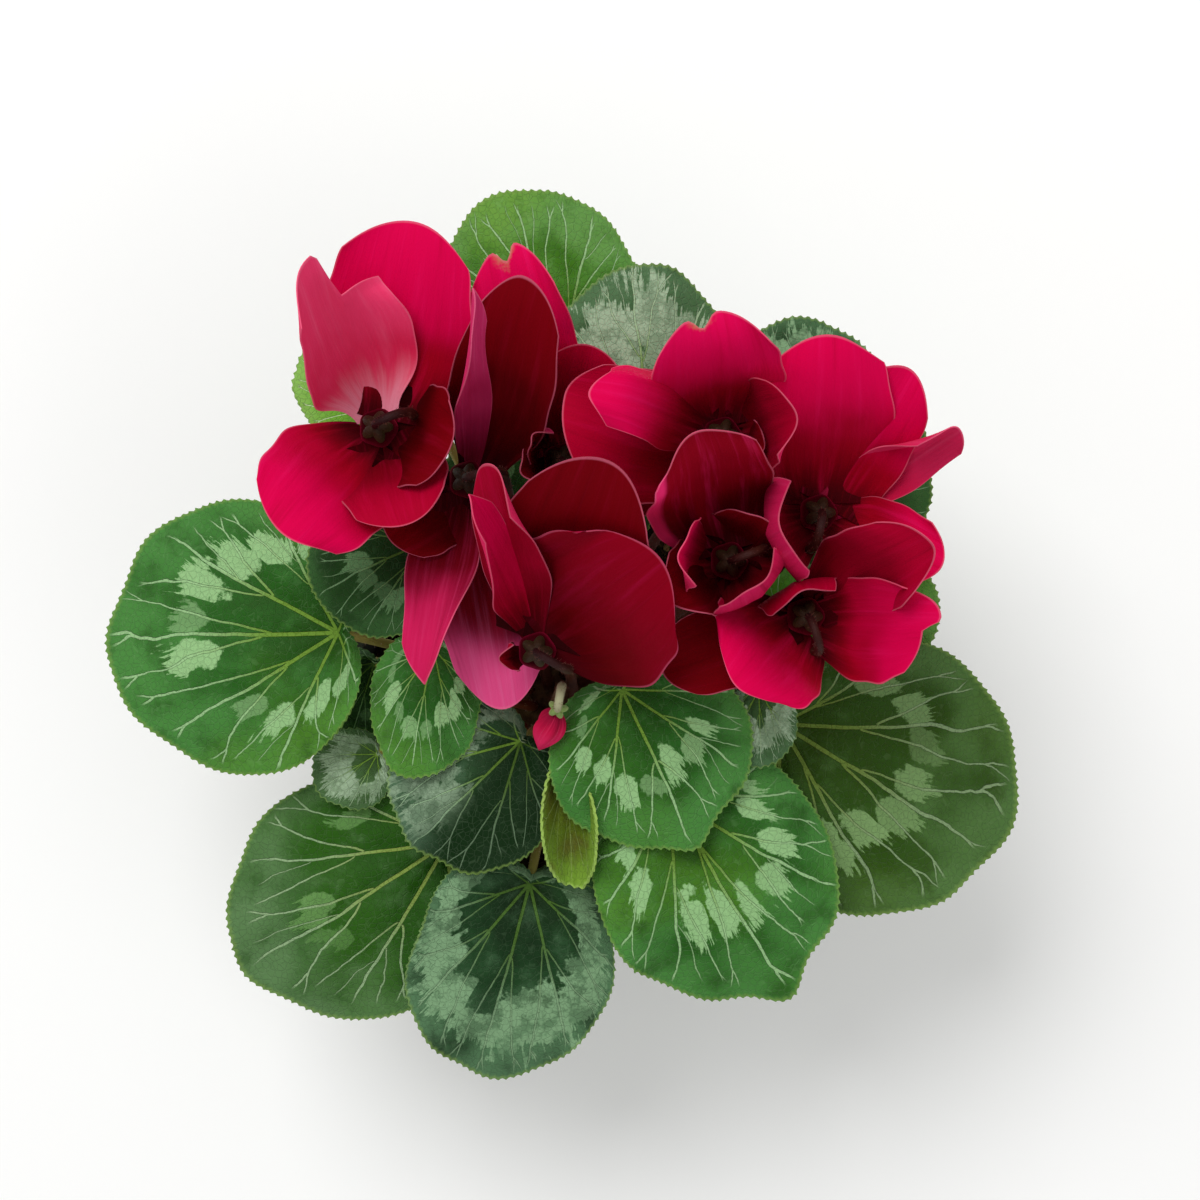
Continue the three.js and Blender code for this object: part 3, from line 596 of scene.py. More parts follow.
@dataclass(frozen=True)
class PetalFinish:
    """One side of a petal: velvet with fine streaks that run to the tip, and a pale line of painted
    highlight at the margin.
    """

    name: str
    # The deep colour is the petal's own darker crimson and also the painted shade low on the petal, by the
    # flower's middle; the bright colour is where the light reaches it.
    deep: str
    bright: str
    # The glow is the petal's brighter streaks, laid on more strongly where the light falls, and the painted
    # highlight of a lit flank.
    glow: str
    # The line is a painted highlight: a pale line along the margin where the thin edge catches the light.
    line: str = "e0708c"
    # The throat colour lies at the petal's foot: on most looks near-black painted shade deep in the flower,
    # on the rose look the petal's own pale base.
    throat_and_shade: str = "3c0006"
    parched: str = "b98a5c"
    velvet: str = "ff2860"
    # How dry the tip is, how strong the painted highlight on the left flank is, and where along the petal
    # the painted shade of the flower's middle gives way to the bright colour.
    dry: float = 0.0
    lit: float = 0.0
    sheen: float = 0.25
    dawn: Span = (0.25, 0.75)
    streaks: Grain = Grain(1.0, 4.0, 0.6)
    hairlines: Grain = Grain(1.0, 3.0, 0.65)
    shade: Grain = Grain(38.0)
    crumple: Grain = Grain(160.0, 4.0, 0.7)
    nap: Grain = Grain(1800.0, 2.0, 0.7)
    depth: float = 0.0004

    def material(self) -> bpy.types.Material:
        """Puts the finish together.

        Returns:
            The material.
        """
        bench = Bench("petal_" + self.name)
        raw, share = bench.chart()
        number = bench.sum("ROUND", raw)
        side = (raw - number) / PETAL_HALF
        where = bench.place()
        streak = bench.cloud(bench.vector(side * 5.0, share * 1.1, number * 3.7), self.streaks)
        fine = bench.cloud(bench.vector(side * 26.0, share * 1.6, number * 1.3), self.hairlines)
        # Painted light and shade: dark low on the petal, in the shade of the flower's middle, and bright
        # higher up where the light falls.
        light = bench.step(share + (bench.cloud(where, self.shade) - 0.5) * 0.8, *self.dawn)
        layers = [
            (self.deep, bench.step(share + (streak - 0.5) * 0.5, 0.02, 0.42)),
            (self.bright, light),
            (self.glow, bench.step(streak, 0.5, 0.8) * (0.2 + light * 0.3)),
            (self.deep, bench.step(streak, 0.48, 0.2) * 0.45),
            (self.glow, bench.step(fine, 0.55, 0.85) * (0.1 + light * 0.18))]
        if self.lit:
            # Painted highlight along the left flank, where its margin rolls out into the light.
            flank = bench.step(side + (streak - 0.5) * 0.2, 0.72, 0.86)
            layers.append((self.glow, flank * bench.step(share, 0.05, 0.3) * self.lit))
        if self.dry:
            crumpled = bench.cloud(where, self.crumple)
            spot = bench.step(share + crumpled * 0.2, 1.06, 1.12) * bench.step(abs(side - 0.1), 0.32, 0.12)
            layers.append((self.parched, spot * self.dry))
        # Painted highlight: a pale line along the margin and the tip.
        edge = bench.sum("MAXIMUM", bench.step(abs(side), 0.972, 0.99), bench.step(share, 0.988, 0.996))
        layers.append((self.line, edge * bench.step(share, 0.1, 0.45) * 0.45))
        relief = streak * 0.5 + fine * 0.35 + bench.cloud(where, self.nap) * 0.15
        return bench.close(bench.paint(self.throat_and_shade, *layers), 0.58 + fine * 0.2, relief, self.depth,
                           Sheen_Weight=self.sheen, Sheen_Roughness=0.45, Sheen_Tint=tint(self.velvet),
                           Specular_IOR_Level=0.03)


class PetalLook(Enum):
    """The sides of the petals as the light catches them."""

    VELVET = PetalFinish("velvet", deep="98001a", bright="d00046", glow="e01460", dawn=(0.3, 0.8))
    WINE = PetalFinish("wine", deep="700010", bright="a40028", glow="c40a46", sheen=0.1)
    DARK = PetalFinish("dark", deep="460002", bright="6c000a", glow="8a0826", throat_and_shade="260002", sheen=0.04)
    CLARET = PetalFinish("claret", deep="5c0004", bright="7c0016", glow="a01040", line="c85878", sheen=0.06)
    FLANKED = PetalFinish("flanked", deep="66000a", bright="8c0018", glow="f83078", lit=0.95, sheen=0.05)
    PINK = PetalFinish("pink", deep="b8123e", bright="d4265a", glow="e45280", throat_and_shade="7c0c2c")
    ROSE = PetalFinish("rose", deep="d82450", bright="e83a6a", glow="f46a92", throat_and_shade="e08ca0")
    MAUVE = PetalFinish("mauve", deep="a01444", bright="c83068", glow="dc6492", throat_and_shade="640820")
    BLUSHED = PetalFinish("blushed", deep="640010", bright="d84880", glow="e070a0", throat_and_shade="340004",
                          dawn=(0.5, 0.95))
    CRIMSON = PetalFinish("crimson", deep="640010", bright="c41a52", glow="d43c72", throat_and_shade="340004",
                          dawn=(0.4, 0.95))
    DRIED = PetalFinish("dried", deep="ac0022", bright="dc0450", glow="e81c6c", dry=0.8)
    # The tube, nearly black all over: painted shade deep in the flower's middle.
    TUBE = PetalFinish("tube", deep="2a0006", bright="340008", glow="40040c", line="340008", throat_and_shade="200004")


@dataclass(frozen=True)
class StalkFinish:
    """A round stalk with fine fibres, washed with two colours along its length."""

    name: str
    foot: str
    neck: str
    fleck: str
    wash: Grain = Grain(60.0, 3.0)
    fibre: Grain = Grain(1.0, 4.0, 0.7)
    skin: Grain = Grain(1600.0, 3.0, 0.7)
    depth: float = 0.0004

    def material(self) -> bpy.types.Material:
        """Puts the finish together.

        Returns:
            The material.
        """
        bench = Bench("stalk_" + self.name)
        around, along = bench.chart()
        where = bench.place()
        wash = bench.cloud(where, self.wash)
        fibre = bench.cloud(bench.vector(around * 22.0, along * 9.0), self.fibre)
        skin = bench.cloud(where, self.skin)
        colour = bench.paint(self.foot, (self.neck, bench.step(along + (wash - 0.5) * 0.5, 0.45, 0.95)),
                             (self.fleck, bench.step(fibre, 0.55, 0.8) * 0.5),
                             (self.fleck, bench.step(skin, 0.6, 0.85) * 0.35))
        return bench.close(colour, 0.45 + skin * 0.2, fibre * 0.5 + skin * 0.5, self.depth,
                           Specular_IOR_Level=0.16)


class StalkLook(Enum):
    """The stalks' colourings, and those of the calyx and the hairs."""

    PETIOLE = StalkFinish("petiole", foot="7c3b22", neck="8b8440", fleck="a9814a")
    # The flower stalks darken to near black at the neck, and the calyx is dark: painted shade of the
    # flowers' middles over their own purple-brown and green-brown.
    PEDUNCLE = StalkFinish("peduncle", foot="4a2014", neck="240608", fleck="44181a")
    CALYX = StalkFinish("calyx", foot="2e1c10", neck="363018", fleck="66582c")
    BUD_CALYX = StalkFinish("bud_calyx", foot="7f9a55", neck="a3b878", fleck="d0dca8")
    BUD_STALK = StalkFinish("bud_stalk", foot="6a4a30", neck="a8a884", fleck="c8c4a4")
    HAIR = StalkFinish("hair", foot="b9a08c", neck="d9c8b8", fleck="efe2d6")
    DARK_HAIR = StalkFinish("dark_hair", foot="6c4038", neck="5c3030", fleck="8a5c54")


@dataclass(frozen=True)
class PotFinish:
    """Moulded dark-grey plastic, dusty towards the foot and the lip, and scuffed."""

    body: str = "36383a"
    flowed: str = "2c2e30"
    rubbed: str = "55585a"
    dust: str = "6d6457"
    flow: Grain = Grain(1.0, 3.0)
    scuff: Grain = Grain(1.0, 5.0, 0.7)
    grain: Grain = Grain(2600.0, 2.0, 0.6)
    drift: Grain = Grain(110.0, 4.0, 0.6)
    flow_stretch: Spot = (90.0, 90.0, 14.0)
    scuff_stretch: Spot = (300.0, 300.0, 60.0)
    depth: float = 0.0002

    def material(self) -> bpy.types.Material:
        """Puts the finish together.

        Returns:
            The material.
        """
        bench = Bench("pot_plastic")
        where = bench.place()
        height = bench.wire(bench.node("SeparateXYZ", sockets={0: where}), 2)
        flow = bench.cloud(bench.stretched(where, self.flow_stretch), self.flow)
        scuff = bench.cloud(bench.stretched(where, self.scuff_stretch), self.scuff)
        grain = bench.cloud(where, self.grain)
        settled = bench.step(height, 0.02, 0.0) * 0.35 + bench.step(height, 0.097, 0.106) * 0.25
        colour = bench.paint(self.body, (self.flowed, flow * 0.4),
                             (self.rubbed, bench.step(scuff, 0.6, 0.75) * 0.4),
                             (self.dust, settled * bench.step(bench.cloud(where, self.drift), 0.3, 0.75)))
        return bench.close(colour, 0.48 + scuff * 0.2, grain * 0.6 + scuff * 0.4, self.depth,
                           Specular_IOR_Level=0.45)


@dataclass(frozen=True)
class EarthFinish:
    """Something of the ground: two tones, clotted and specked, with a coarse relief."""

    name: str
    dark: str
    light: str
    clots: float
    depth: float
    fleck: str = "8a6d4b"
    finer: float = 6.0

    def material(self) -> bpy.types.Material:
        """Puts the finish together.

        Returns:
            The material.
        """
        bench = Bench("earth_" + self.name)
        where = bench.place()
        clot = bench.cloud(where, Grain(self.clots, 6.0, 0.7))
        speck = bench.cloud(where, Grain(self.clots * self.finer, 3.0, 0.7))
        colour = bench.paint(self.dark, (self.light, bench.step(clot, 0.35, 0.7)),
                             (self.fleck, bench.step(speck, 0.66, 0.74) * 0.5))
        return bench.close(colour, 0.85 + speck * 0.1, clot * 0.6 + speck * 0.4, self.depth,
                           Specular_IOR_Level=0.15)


class EarthLook(Enum):
    """What the ground and the tuber are made of."""

    PEAT = EarthFinish("peat", dark="15100c", light="37281b", clots=260.0, depth=0.0015)
    CRUMB = EarthFinish("crumb", dark="241710", light="50371f", clots=420.0, depth=0.0008)
    FIBRE = EarthFinish("fibre", dark="7d5f3c", light="b39668", clots=500.0, depth=0.0004)
    CORK = EarthFinish("cork", dark="4a3122", light="7d5e43", clots=180.0, depth=0.0012)


@dataclass(frozen=True)
class FloorFinish:
    """The studio's pale sweep."""

    tone: str = "fcfcfb"
    hazed: str = "f7f7f6"
    haze: Grain = Grain(6.0)
    depth: float = 0.0001

    def material(self) -> bpy.types.Material:
        """Puts the finish together.

        Returns:
            The material.
        """
        bench = Bench("studio_floor")
        haze = bench.cloud(bench.place(), self.haze)
        colour = bench.paint(self.tone, (self.hazed, haze * 0.15))
        return bench.close(colour, 0.9, haze, self.depth, Specular_IOR_Level=0.1)


Finish = Union[LeafLook, UndersideFinish, PetalLook, StalkLook, PotFinish, EarthLook, FloorFinish]


class Paintbox:
    """Keeps each finish's material, so that it is made once."""

    made: dict[str, bpy.types.Material] = {}

    @classmethod
    def of(cls, finish: Finish) -> bpy.types.Material:
        """The material of a finish.

        Args:
            finish: the finish, or the look that names it.

        Returns:
            The material.
        """
        look = finish.value if isinstance(finish, Enum) else finish
        key = repr(look)
        if key not in cls.made:
            cls.made[key] = look.material()
        return cls.made[key]


# ---------------------------------------------------------------- mesh bench


class Piece:
    """One piece in the making: a mesh in millimetres, with a place for each finish."""

    def __init__(self, name: str) -> None:
        """Starts an empty piece.

        Args:
            name: its name.
        """
        self.name = name
        self.mesh = bmesh.new()
        self.uv = self.mesh.loops.layers.uv.new(MAP)
        self.materials: list[bpy.types.Material] = []

    def dye(self, faces: Iterable[bmesh.types.BMFace], finish: Finish) -> None:
        """Changes the finish of some faces.

        Args:
            faces: the faces.
            finish: what they are finished in from now on.
        """
        material = Paintbox.of(finish)
        if material not in self.materials:
            self.materials.append(material)
        for face in faces:
            face.material_index = self.materials.index(material)

    def dye_round(self, verts: Iterable[bmesh.types.BMVert], finish: Finish) -> None:
        """Changes the finish of the faces round some corners."""
        self.dye([face for vert in verts for face in vert.link_faces], finish)

    def grid(self, across: int, along: int, place: Place, finish: Finish, chart: Optional[Chart] = None,
             closed: bool = False) -> list:
        """Lays a grid of faces over a surface, and welds it where it meets itself.

        Args:
            across: faces across the surface.
            along: faces along it.
            place: the point, in millimetres, at a share across and a share along.
            finish: what the faces are finished in.
            chart: the map's coordinates there, or None for the shares themselves.
            closed: whether it has an inside, so that its faces are turned outwards.

        Returns:
            The faces.
        """
        before = set(self.mesh.faces)
        verts = bmesh.ops.create_grid(self.mesh, x_segments=across, y_segments=along, size=1.0)["verts"]
        faces = [face for face in self.mesh.faces if face not in before]
        self.dye(faces, finish)
        for face in faces:
            face.smooth = True
            for loop in face.loops:
                u, w = (loop.vert.co.x + 1) / 2, (loop.vert.co.y + 1) / 2
                loop[self.uv].uv = chart(u, w) if chart else (u, w)
        for vert in verts:
            vert.co = place((vert.co.x + 1) / 2, (vert.co.y + 1) / 2)
        bmesh.ops.remove_doubles(self.mesh, verts=verts, dist=1e-4)
        faces = [face for face in self.mesh.faces if face not in before]
        if closed:
            bmesh.ops.recalc_face_normals(self.mesh, faces=faces)
        return faces

    def back(self, faces: list, thickness: float, under: Finish, rim: Finish) -> None:
        """Gives a sheet its thickness: a back behind its faces, and a rim round its edge.

        Args:
            faces: the sheet's faces.
            thickness: the thickness in millimetres.
            under: what the back is finished in.
            rim: what the rim is finished in.
        """
        self.mesh.normal_update()
        known = set(self.mesh.faces)
        made = bmesh.ops.extrude_face_region(self.mesh, geom=faces, use_keep_orig=True)["geom"]
        shifts = [(item, item.normal * thickness) for item in made if isinstance(item, bmesh.types.BMVert)]
        for vert, shift in shifts:
            vert.co -= shift
        added = [face for face in self.mesh.faces if face not in known]
        self.dye(added, rim)
        self.dye([item for item in made if isinstance(item, bmesh.types.BMFace)], under)
        bmesh.ops.recalc_face_normals(self.mesh, faces=[*faces, *added])

    def tube(self, path: Path, radius: Girth, sides: int, steps: int, finish: Finish) -> None:
        """A round stem along a path, closed at both ends.

        Args:
            path: the point at a share of the way.
            radius: the radius at a share of the way.
            sides: faces round the stem.
            steps: faces along it.
            finish: what it is finished in.
        """
        points = [path(i / steps) for i in range(steps + 1)]
        runs = [(points[min(i + 1, steps)] - points[max(i - 1, 0)]).normalized() for i in range(steps + 1)]
        side = runs[0].orthogonal().normalized()
        sides_at = [side.copy()]
        for run_before, run in zip(runs, runs[1:]):
            side = (run_before.rotation_difference(run) @ side).normalized()
            sides_at.append(side.copy())

        def place(u: float, w: float) -> Vector:
            """A point of the stem.

            Args:
                u: the share of the way round it.
                w: the share of its rows, the first and the last of which are its ends.

            Returns:
                The point.
            """
            row = round(w * (steps + 2))
            i = int(clamp(row - 1, 0, steps))
            reach = 0.0 if row in (0, steps + 2) else radius(i / steps)
            angle = 2 * math.pi * u
            other = runs[i].cross(sides_at[i])
            return points[i] + (sides_at[i] * math.cos(angle) + other * math.sin(angle)) * reach

        self.grid(sides, steps + 2, place, finish, closed=True)

    def fuzz(self, path: Path, radius: Girth, count: int, between: Span, length: float,
             finish: Finish) -> None:
        """Fine hairs that stand on a round stem.

        Args:
            path: the stem's point at a share of the way.
            radius: its radius at a share of the way.
            count: how many hairs.
            between: the shares of the way between which they stand.
            length: how long most of them are.
            finish: what they are finished in.
        """
        foot_radius, tip_radius, sunk = 0.06, 0.015, 0.95
        lots = random.Random(self.name)
        for _ in range(count):
            share = lots.uniform(*between)
            run = (path(share + 0.01) - path(share - 0.01)).normalized()
            out = Quaternion(run, lots.uniform(0, 2 * math.pi)) @ run.orthogonal().normalized()
            lean = (out + run * lots.uniform(-0.4, 0.4)).normalized()
            tall = length * lots.uniform(0.6, 1.2)
            foot = path(share) + out * (radius(share) * sunk)
            turn = lean.to_track_quat("Z", "Y").to_matrix().to_4x4()
            made = bmesh.ops.create_cone(self.mesh, cap_ends=True, segments=3, radius1=foot_radius,
                                         radius2=tip_radius, depth=tall,
                                         matrix=Matrix.Translation(foot + lean * (tall / 2)) @ turn)
            self.dye_round(made["verts"], finish)

    def turned(self, profile: Sequence[Span], sides: int, finish: Finish, at: Vector = ORIGIN,
               ridge: float = 0.0) -> None:
        """A turned shape about an upright axis, from a profile that starts and ends on it.

        Args:
            profile: radius and height pairs.
            sides: faces round it.
            finish: what it is finished in.
            at: where its own zero is.
            ridge: how far it stands out in a ridge under each petal, as a share of the radius.
        """
        steps = len(profile) - 1

        def place(u: float, w: float) -> Vector:
            """The point round and along the profile."""
            radius, height = profile[round(w * steps)]
            ridged = 1 + ridge * math.cos(PETALS * (2 * math.pi * u))
            return at + heading(360 * u) * radius * ridged + UP * height

        self.grid(sides, steps, place, finish, closed=True)

    def settle(self, node: str, crease: float = 50.0) -> bpy.types.Object:
        """Turns the piece into an object that stands for a node of the frame.

        Args:
            node: the node.
            crease: the angle, in degrees, past which an edge stays sharp.

        Returns:
            The object.
        """
        bmesh.ops.scale(self.mesh, vec=(MM, MM, MM), verts=self.mesh.verts)
        data = mesh_of(self.name, self.mesh)
        for material in self.materials:
            data.materials.append(material)
        data.set_sharp_from_angle(angle=math.radians(crease))
        made = put(self.name, data)
        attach(made, "root")
        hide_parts(node)
        log.info("%s: %d faces for %s", self.name, len(data.polygons), node)
        return made


# ---------------------------------------------------------------- pot, soil and tuber


@dataclass
class Pot:
    """The grower's tapered pot with a stepped lip, a raised floor and drain holes."""

    height: float = 105.0
    top: float = 60.0
    base: float = 43.0
    wall: float = 1.6
    lip_height: float = 9.0
    lip_step: float = 2.2
    foot_lift: float = 1.5
    hub: float = 22.0
    foot_ring: float = 3.0
    drains: int = 8
    drain: float = 3.2
    drain_circle: float = 32.0
    drain_sides: int = 24
    sides: int = 96
    corner: float = 25.0
    corner_round: float = 0.45

    def radius(self, height: float) -> float:
        """The outer radius at a height, without the lip."""
        return self.base + (self.top - self.lip_step - self.base) * height / self.height

    def profile(self) -> list[Span]:
        """The section of the wall, from the middle of its under side round to the middle of its floor.

        Returns:
            Radius and height pairs.
        """
        foot = self.height - self.lip_height
        floor = self.wall + self.foot_lift
        ring = self.base - self.foot_ring
        outside = [(self.radius(foot * share), foot * share) for share in (0.33, 0.66, 1)]
        inside = [(self.radius(high) - self.wall, high) for high in (self.height, foot, foot * 0.5, floor)]
        return [(0, 0), (self.hub, 0), (self.hub + 1, self.foot_lift), (ring - 1, self.foot_lift), (ring, 0),
                (self.base, 0), *outside, (self.top, foot), (self.top, self.height), *inside, (0, floor)]

    def cutter(self) -> bpy.types.Object:
        """The drills for the drain holes.

        Returns:
            All of them as one object for the cut.
        """
        drills = bmesh.new()
        for i in range(self.drains):
            at = heading(360 * (i + 0.5) / self.drains) * self.drain_circle
            bmesh.ops.create_cone(drills, cap_ends=True, segments=self.drain_sides, radius1=self.drain * MM,
                                  radius2=self.drain * MM, depth=8 * self.wall * MM,
                                  matrix=Matrix.Translation(at * MM))
        return put("drain_drills", mesh_of("drain_drills", drills))

    def build(self) -> None:
        """Builds and dresses the pot."""
        piece = Piece("grower_pot")
        piece.turned(self.profile(), self.sides, PotFinish())
        corners = [edge for edge in piece.mesh.edges
                   if len(edge.link_faces) == 2 and edge.calc_face_angle(0.0) > math.radians(self.corner)]
        bmesh.ops.bevel(piece.mesh, geom=corners, offset=self.corner_round, affect="EDGES", segments=3,
                        profile=0.5, material=-1)
        made = piece.settle("pot", 40.0)
        drills = self.cutter()
        cut = made.modifiers.new("drains", "BOOLEAN")
        cut.operation = "DIFFERENCE"
        cut.object = drills
        bpy.context.view_layer.update()
        holed = bpy.data.meshes.new_from_object(made.evaluated_get(bpy.context.evaluated_depsgraph_get()))
        made.modifiers.clear()
        made.data = holed
        bpy.data.objects.remove(drills)


@dataclass
class Soil:
    """The potting mix: a plug with a crumbly top, strewn with crumbs and fibres."""

    pot: Pot
    level: float = 92.0
    lump: float = 1.3
    crumble: float = 0.9
    gap: float = 0.6
    lift: float = 0.3
    shoulder: float = 2.5
    sag: float = 0.6
    rings: int = 44
    sides: int = 150
    crumbs: int = 420
    crumb_inset: float = 3.0
    crumb_size: Span = (0.5, 1.7)
    bark: float = 0.8
    fibres: int = 70
    fibre_inset: float = 8.0
    fibre_length: Span = (4, 9)
    fibre_sway: float = 2.0
    fibre_radius: float = 0.22
    fibre_lift: float = 0.35
    clearance: float = 2.0
    seed: int = 7

    def rise(self, x: float, y: float) -> float:
        """The height of the uneven top at a place.

        Args:
            x: the place's first coordinate.
            y: its second.

        Returns:
            The height.
        """
        waves = math.sin(x / 8.4) * math.cos(y / 8.4) + math.sin((x - y) / 4.3)
        fine = noise.fractal(Vector((x, y, 0.0)) * 0.22, 0.8, 2.0, 4)
        return self.level + self.lump * waves / 2 + fine * self.crumble

    def inside(self, height: float) -> float:
        """The plug's radius at a height."""
        return self.pot.radius(height) - self.pot.wall - self.gap

    def build(self) -> None:
        """Builds and dresses the soil."""
        piece = Piece("potting_mix")
        floor = self.pot.wall + self.pot.foot_lift + self.lift
        brim = self.inside(self.level)
        steps = self.rings + 3

        def place(u: float, w: float) -> Vector:
            """A point of the plug.

            Args:
                u: the share of the way round it.
                w: the share of its rows, from its foot over its side to the middle of its top.

            Returns:
                The point.
            """
            row = round(w * steps)
            if row <= 1:
                return heading(360 * u) * (self.inside(floor) if row else 0.0) + UP * floor
            reach = brim * (1 - (row - 2) / (steps - 2))
            at = heading(360 * u) * reach
            return at + UP * (self.rise(at.x, at.y) - self.sag * ease(reach, brim - self.shoulder, brim))

        piece.grid(self.sides, steps, place, EarthLook.PEAT, closed=True)
        lots = random.Random(self.seed)
        for _ in range(self.crumbs):
            self.crumb(piece, lots)
        for _ in range(self.fibres):
            self.fibre(piece, lots)
        piece.settle("soil", 60.0)

    def spot(self, lots: random.Random, inset: float) -> Vector:
        """A place on the soil drawn by lot, kept so far from the wall."""
        at = heading(lots.uniform(0, 360)) * (math.sqrt(lots.random()) * (self.inside(self.level) - inset))
        return at + UP * self.rise(at.x, at.y)

    def crumb(self, piece: Piece, lots: random.Random) -> None:
        """One crumb of bark or peat, sunk a little into the top.

        Args:
            piece: the soil.
            lots: where the lots come from.
        """
        size = lots.uniform(*self.crumb_size)
        axis = (lots.random(), lots.random(), lots.random())
        turn = Quaternion(axis, lots.uniform(0, 3)).to_matrix().to_4x4()
        shape = Matrix.Diagonal((size * lots.uniform(0.8, 1.6), size, size * lots.uniform(0.5, 0.9), 1.0))
        at = Matrix.Translation(self.spot(lots, self.crumb_inset))
        made = bmesh.ops.create_icosphere(piece.mesh, subdivisions=1, radius=1.0, matrix=at @ turn @ shape)
        piece.dye_round(made["verts"], EarthLook.CRUMB if lots.random() < self.bark else EarthLook.FIBRE)

    def fibre(self, piece: Piece, lots: random.Random) -> None:
        """One thin fibre lying on the top.

        Args:
            piece: the soil.
            lots: where the lots come from.
        """
        start = self.spot(lots, self.fibre_inset)
        angle = lots.uniform(0, 360)
        way = heading(angle)
        length = lots.uniform(*self.fibre_length)
        side = heading(angle + 90) * lots.uniform(-self.fibre_sway, self.fibre_sway)
        limit = self.inside(self.level) - self.clearance

        def path(share: float) -> Vector:
            """The point at a share of the fibre, laid on the soil and kept inside the pot."""
            at = start + way * (length * (share - 0.5)) + side * (share * (1 - share) * 2)
            at *= min(1.0, limit / math.hypot(at.x, at.y))
            return Vector((at.x, at.y, self.rise(at.x, at.y) + self.fibre_lift))

        piece.tube(path, lambda share: self.fibre_radius, 4, 5, EarthLook.FIBRE)


@dataclass
class Tuber:
    """The flattened corky tuber from which every stalk rises."""

    radius: float = 23.0
    bottom: float = 82.0
    top: float = 100.0
    flank: tuple[Span, ...] = ((0.62, 0.05), (0.93, 0.28), (1, 0.53), (0.95, 0.78), (0.8, 0.93), (0.4, 1))
    dimple: float = 0.3
    swell: float = 0.7
    sides: int = 72

    def build(self) -> None:
        """Builds and dresses the tuber."""
        piece = Piece("corky_tuber")
        tall = self.top - self.bottom
        outline = [(0.0, self.bottom),
                   *((wide * self.radius, self.bottom + high * tall) for wide, high in self.flank),
                   (0.0, self.top - self.dimple)]
        piece.turned(rounded(outline, 5), self.sides, EarthLook.CORK)
        middle = UP * (self.bottom + tall / 2)
        for vert in piece.mesh.verts:
            swell = noise.fractal(vert.co * 0.12, 0.9, 2.0, 4)
            vert.co += (vert.co - middle).normalized() * (swell * self.swell - self.dimple)
        piece.settle("tuber", 70.0)


# ---------------------------------------------------------------- leaves


@dataclass(frozen=True)
class Curl:
    """A curl in a leaf's margin: its angle and width, its height, and how far it is drawn back."""

    at: float = 0.0
    width: float = 30.0
    height: float = 0.0
    back: float = 0.0

    def fade(self, angle: float) -> float:
        """How much of the curl there is at an angle."""
        return math.exp(-((angle - math.radians(self.at)) / math.radians(self.width)) ** 2)


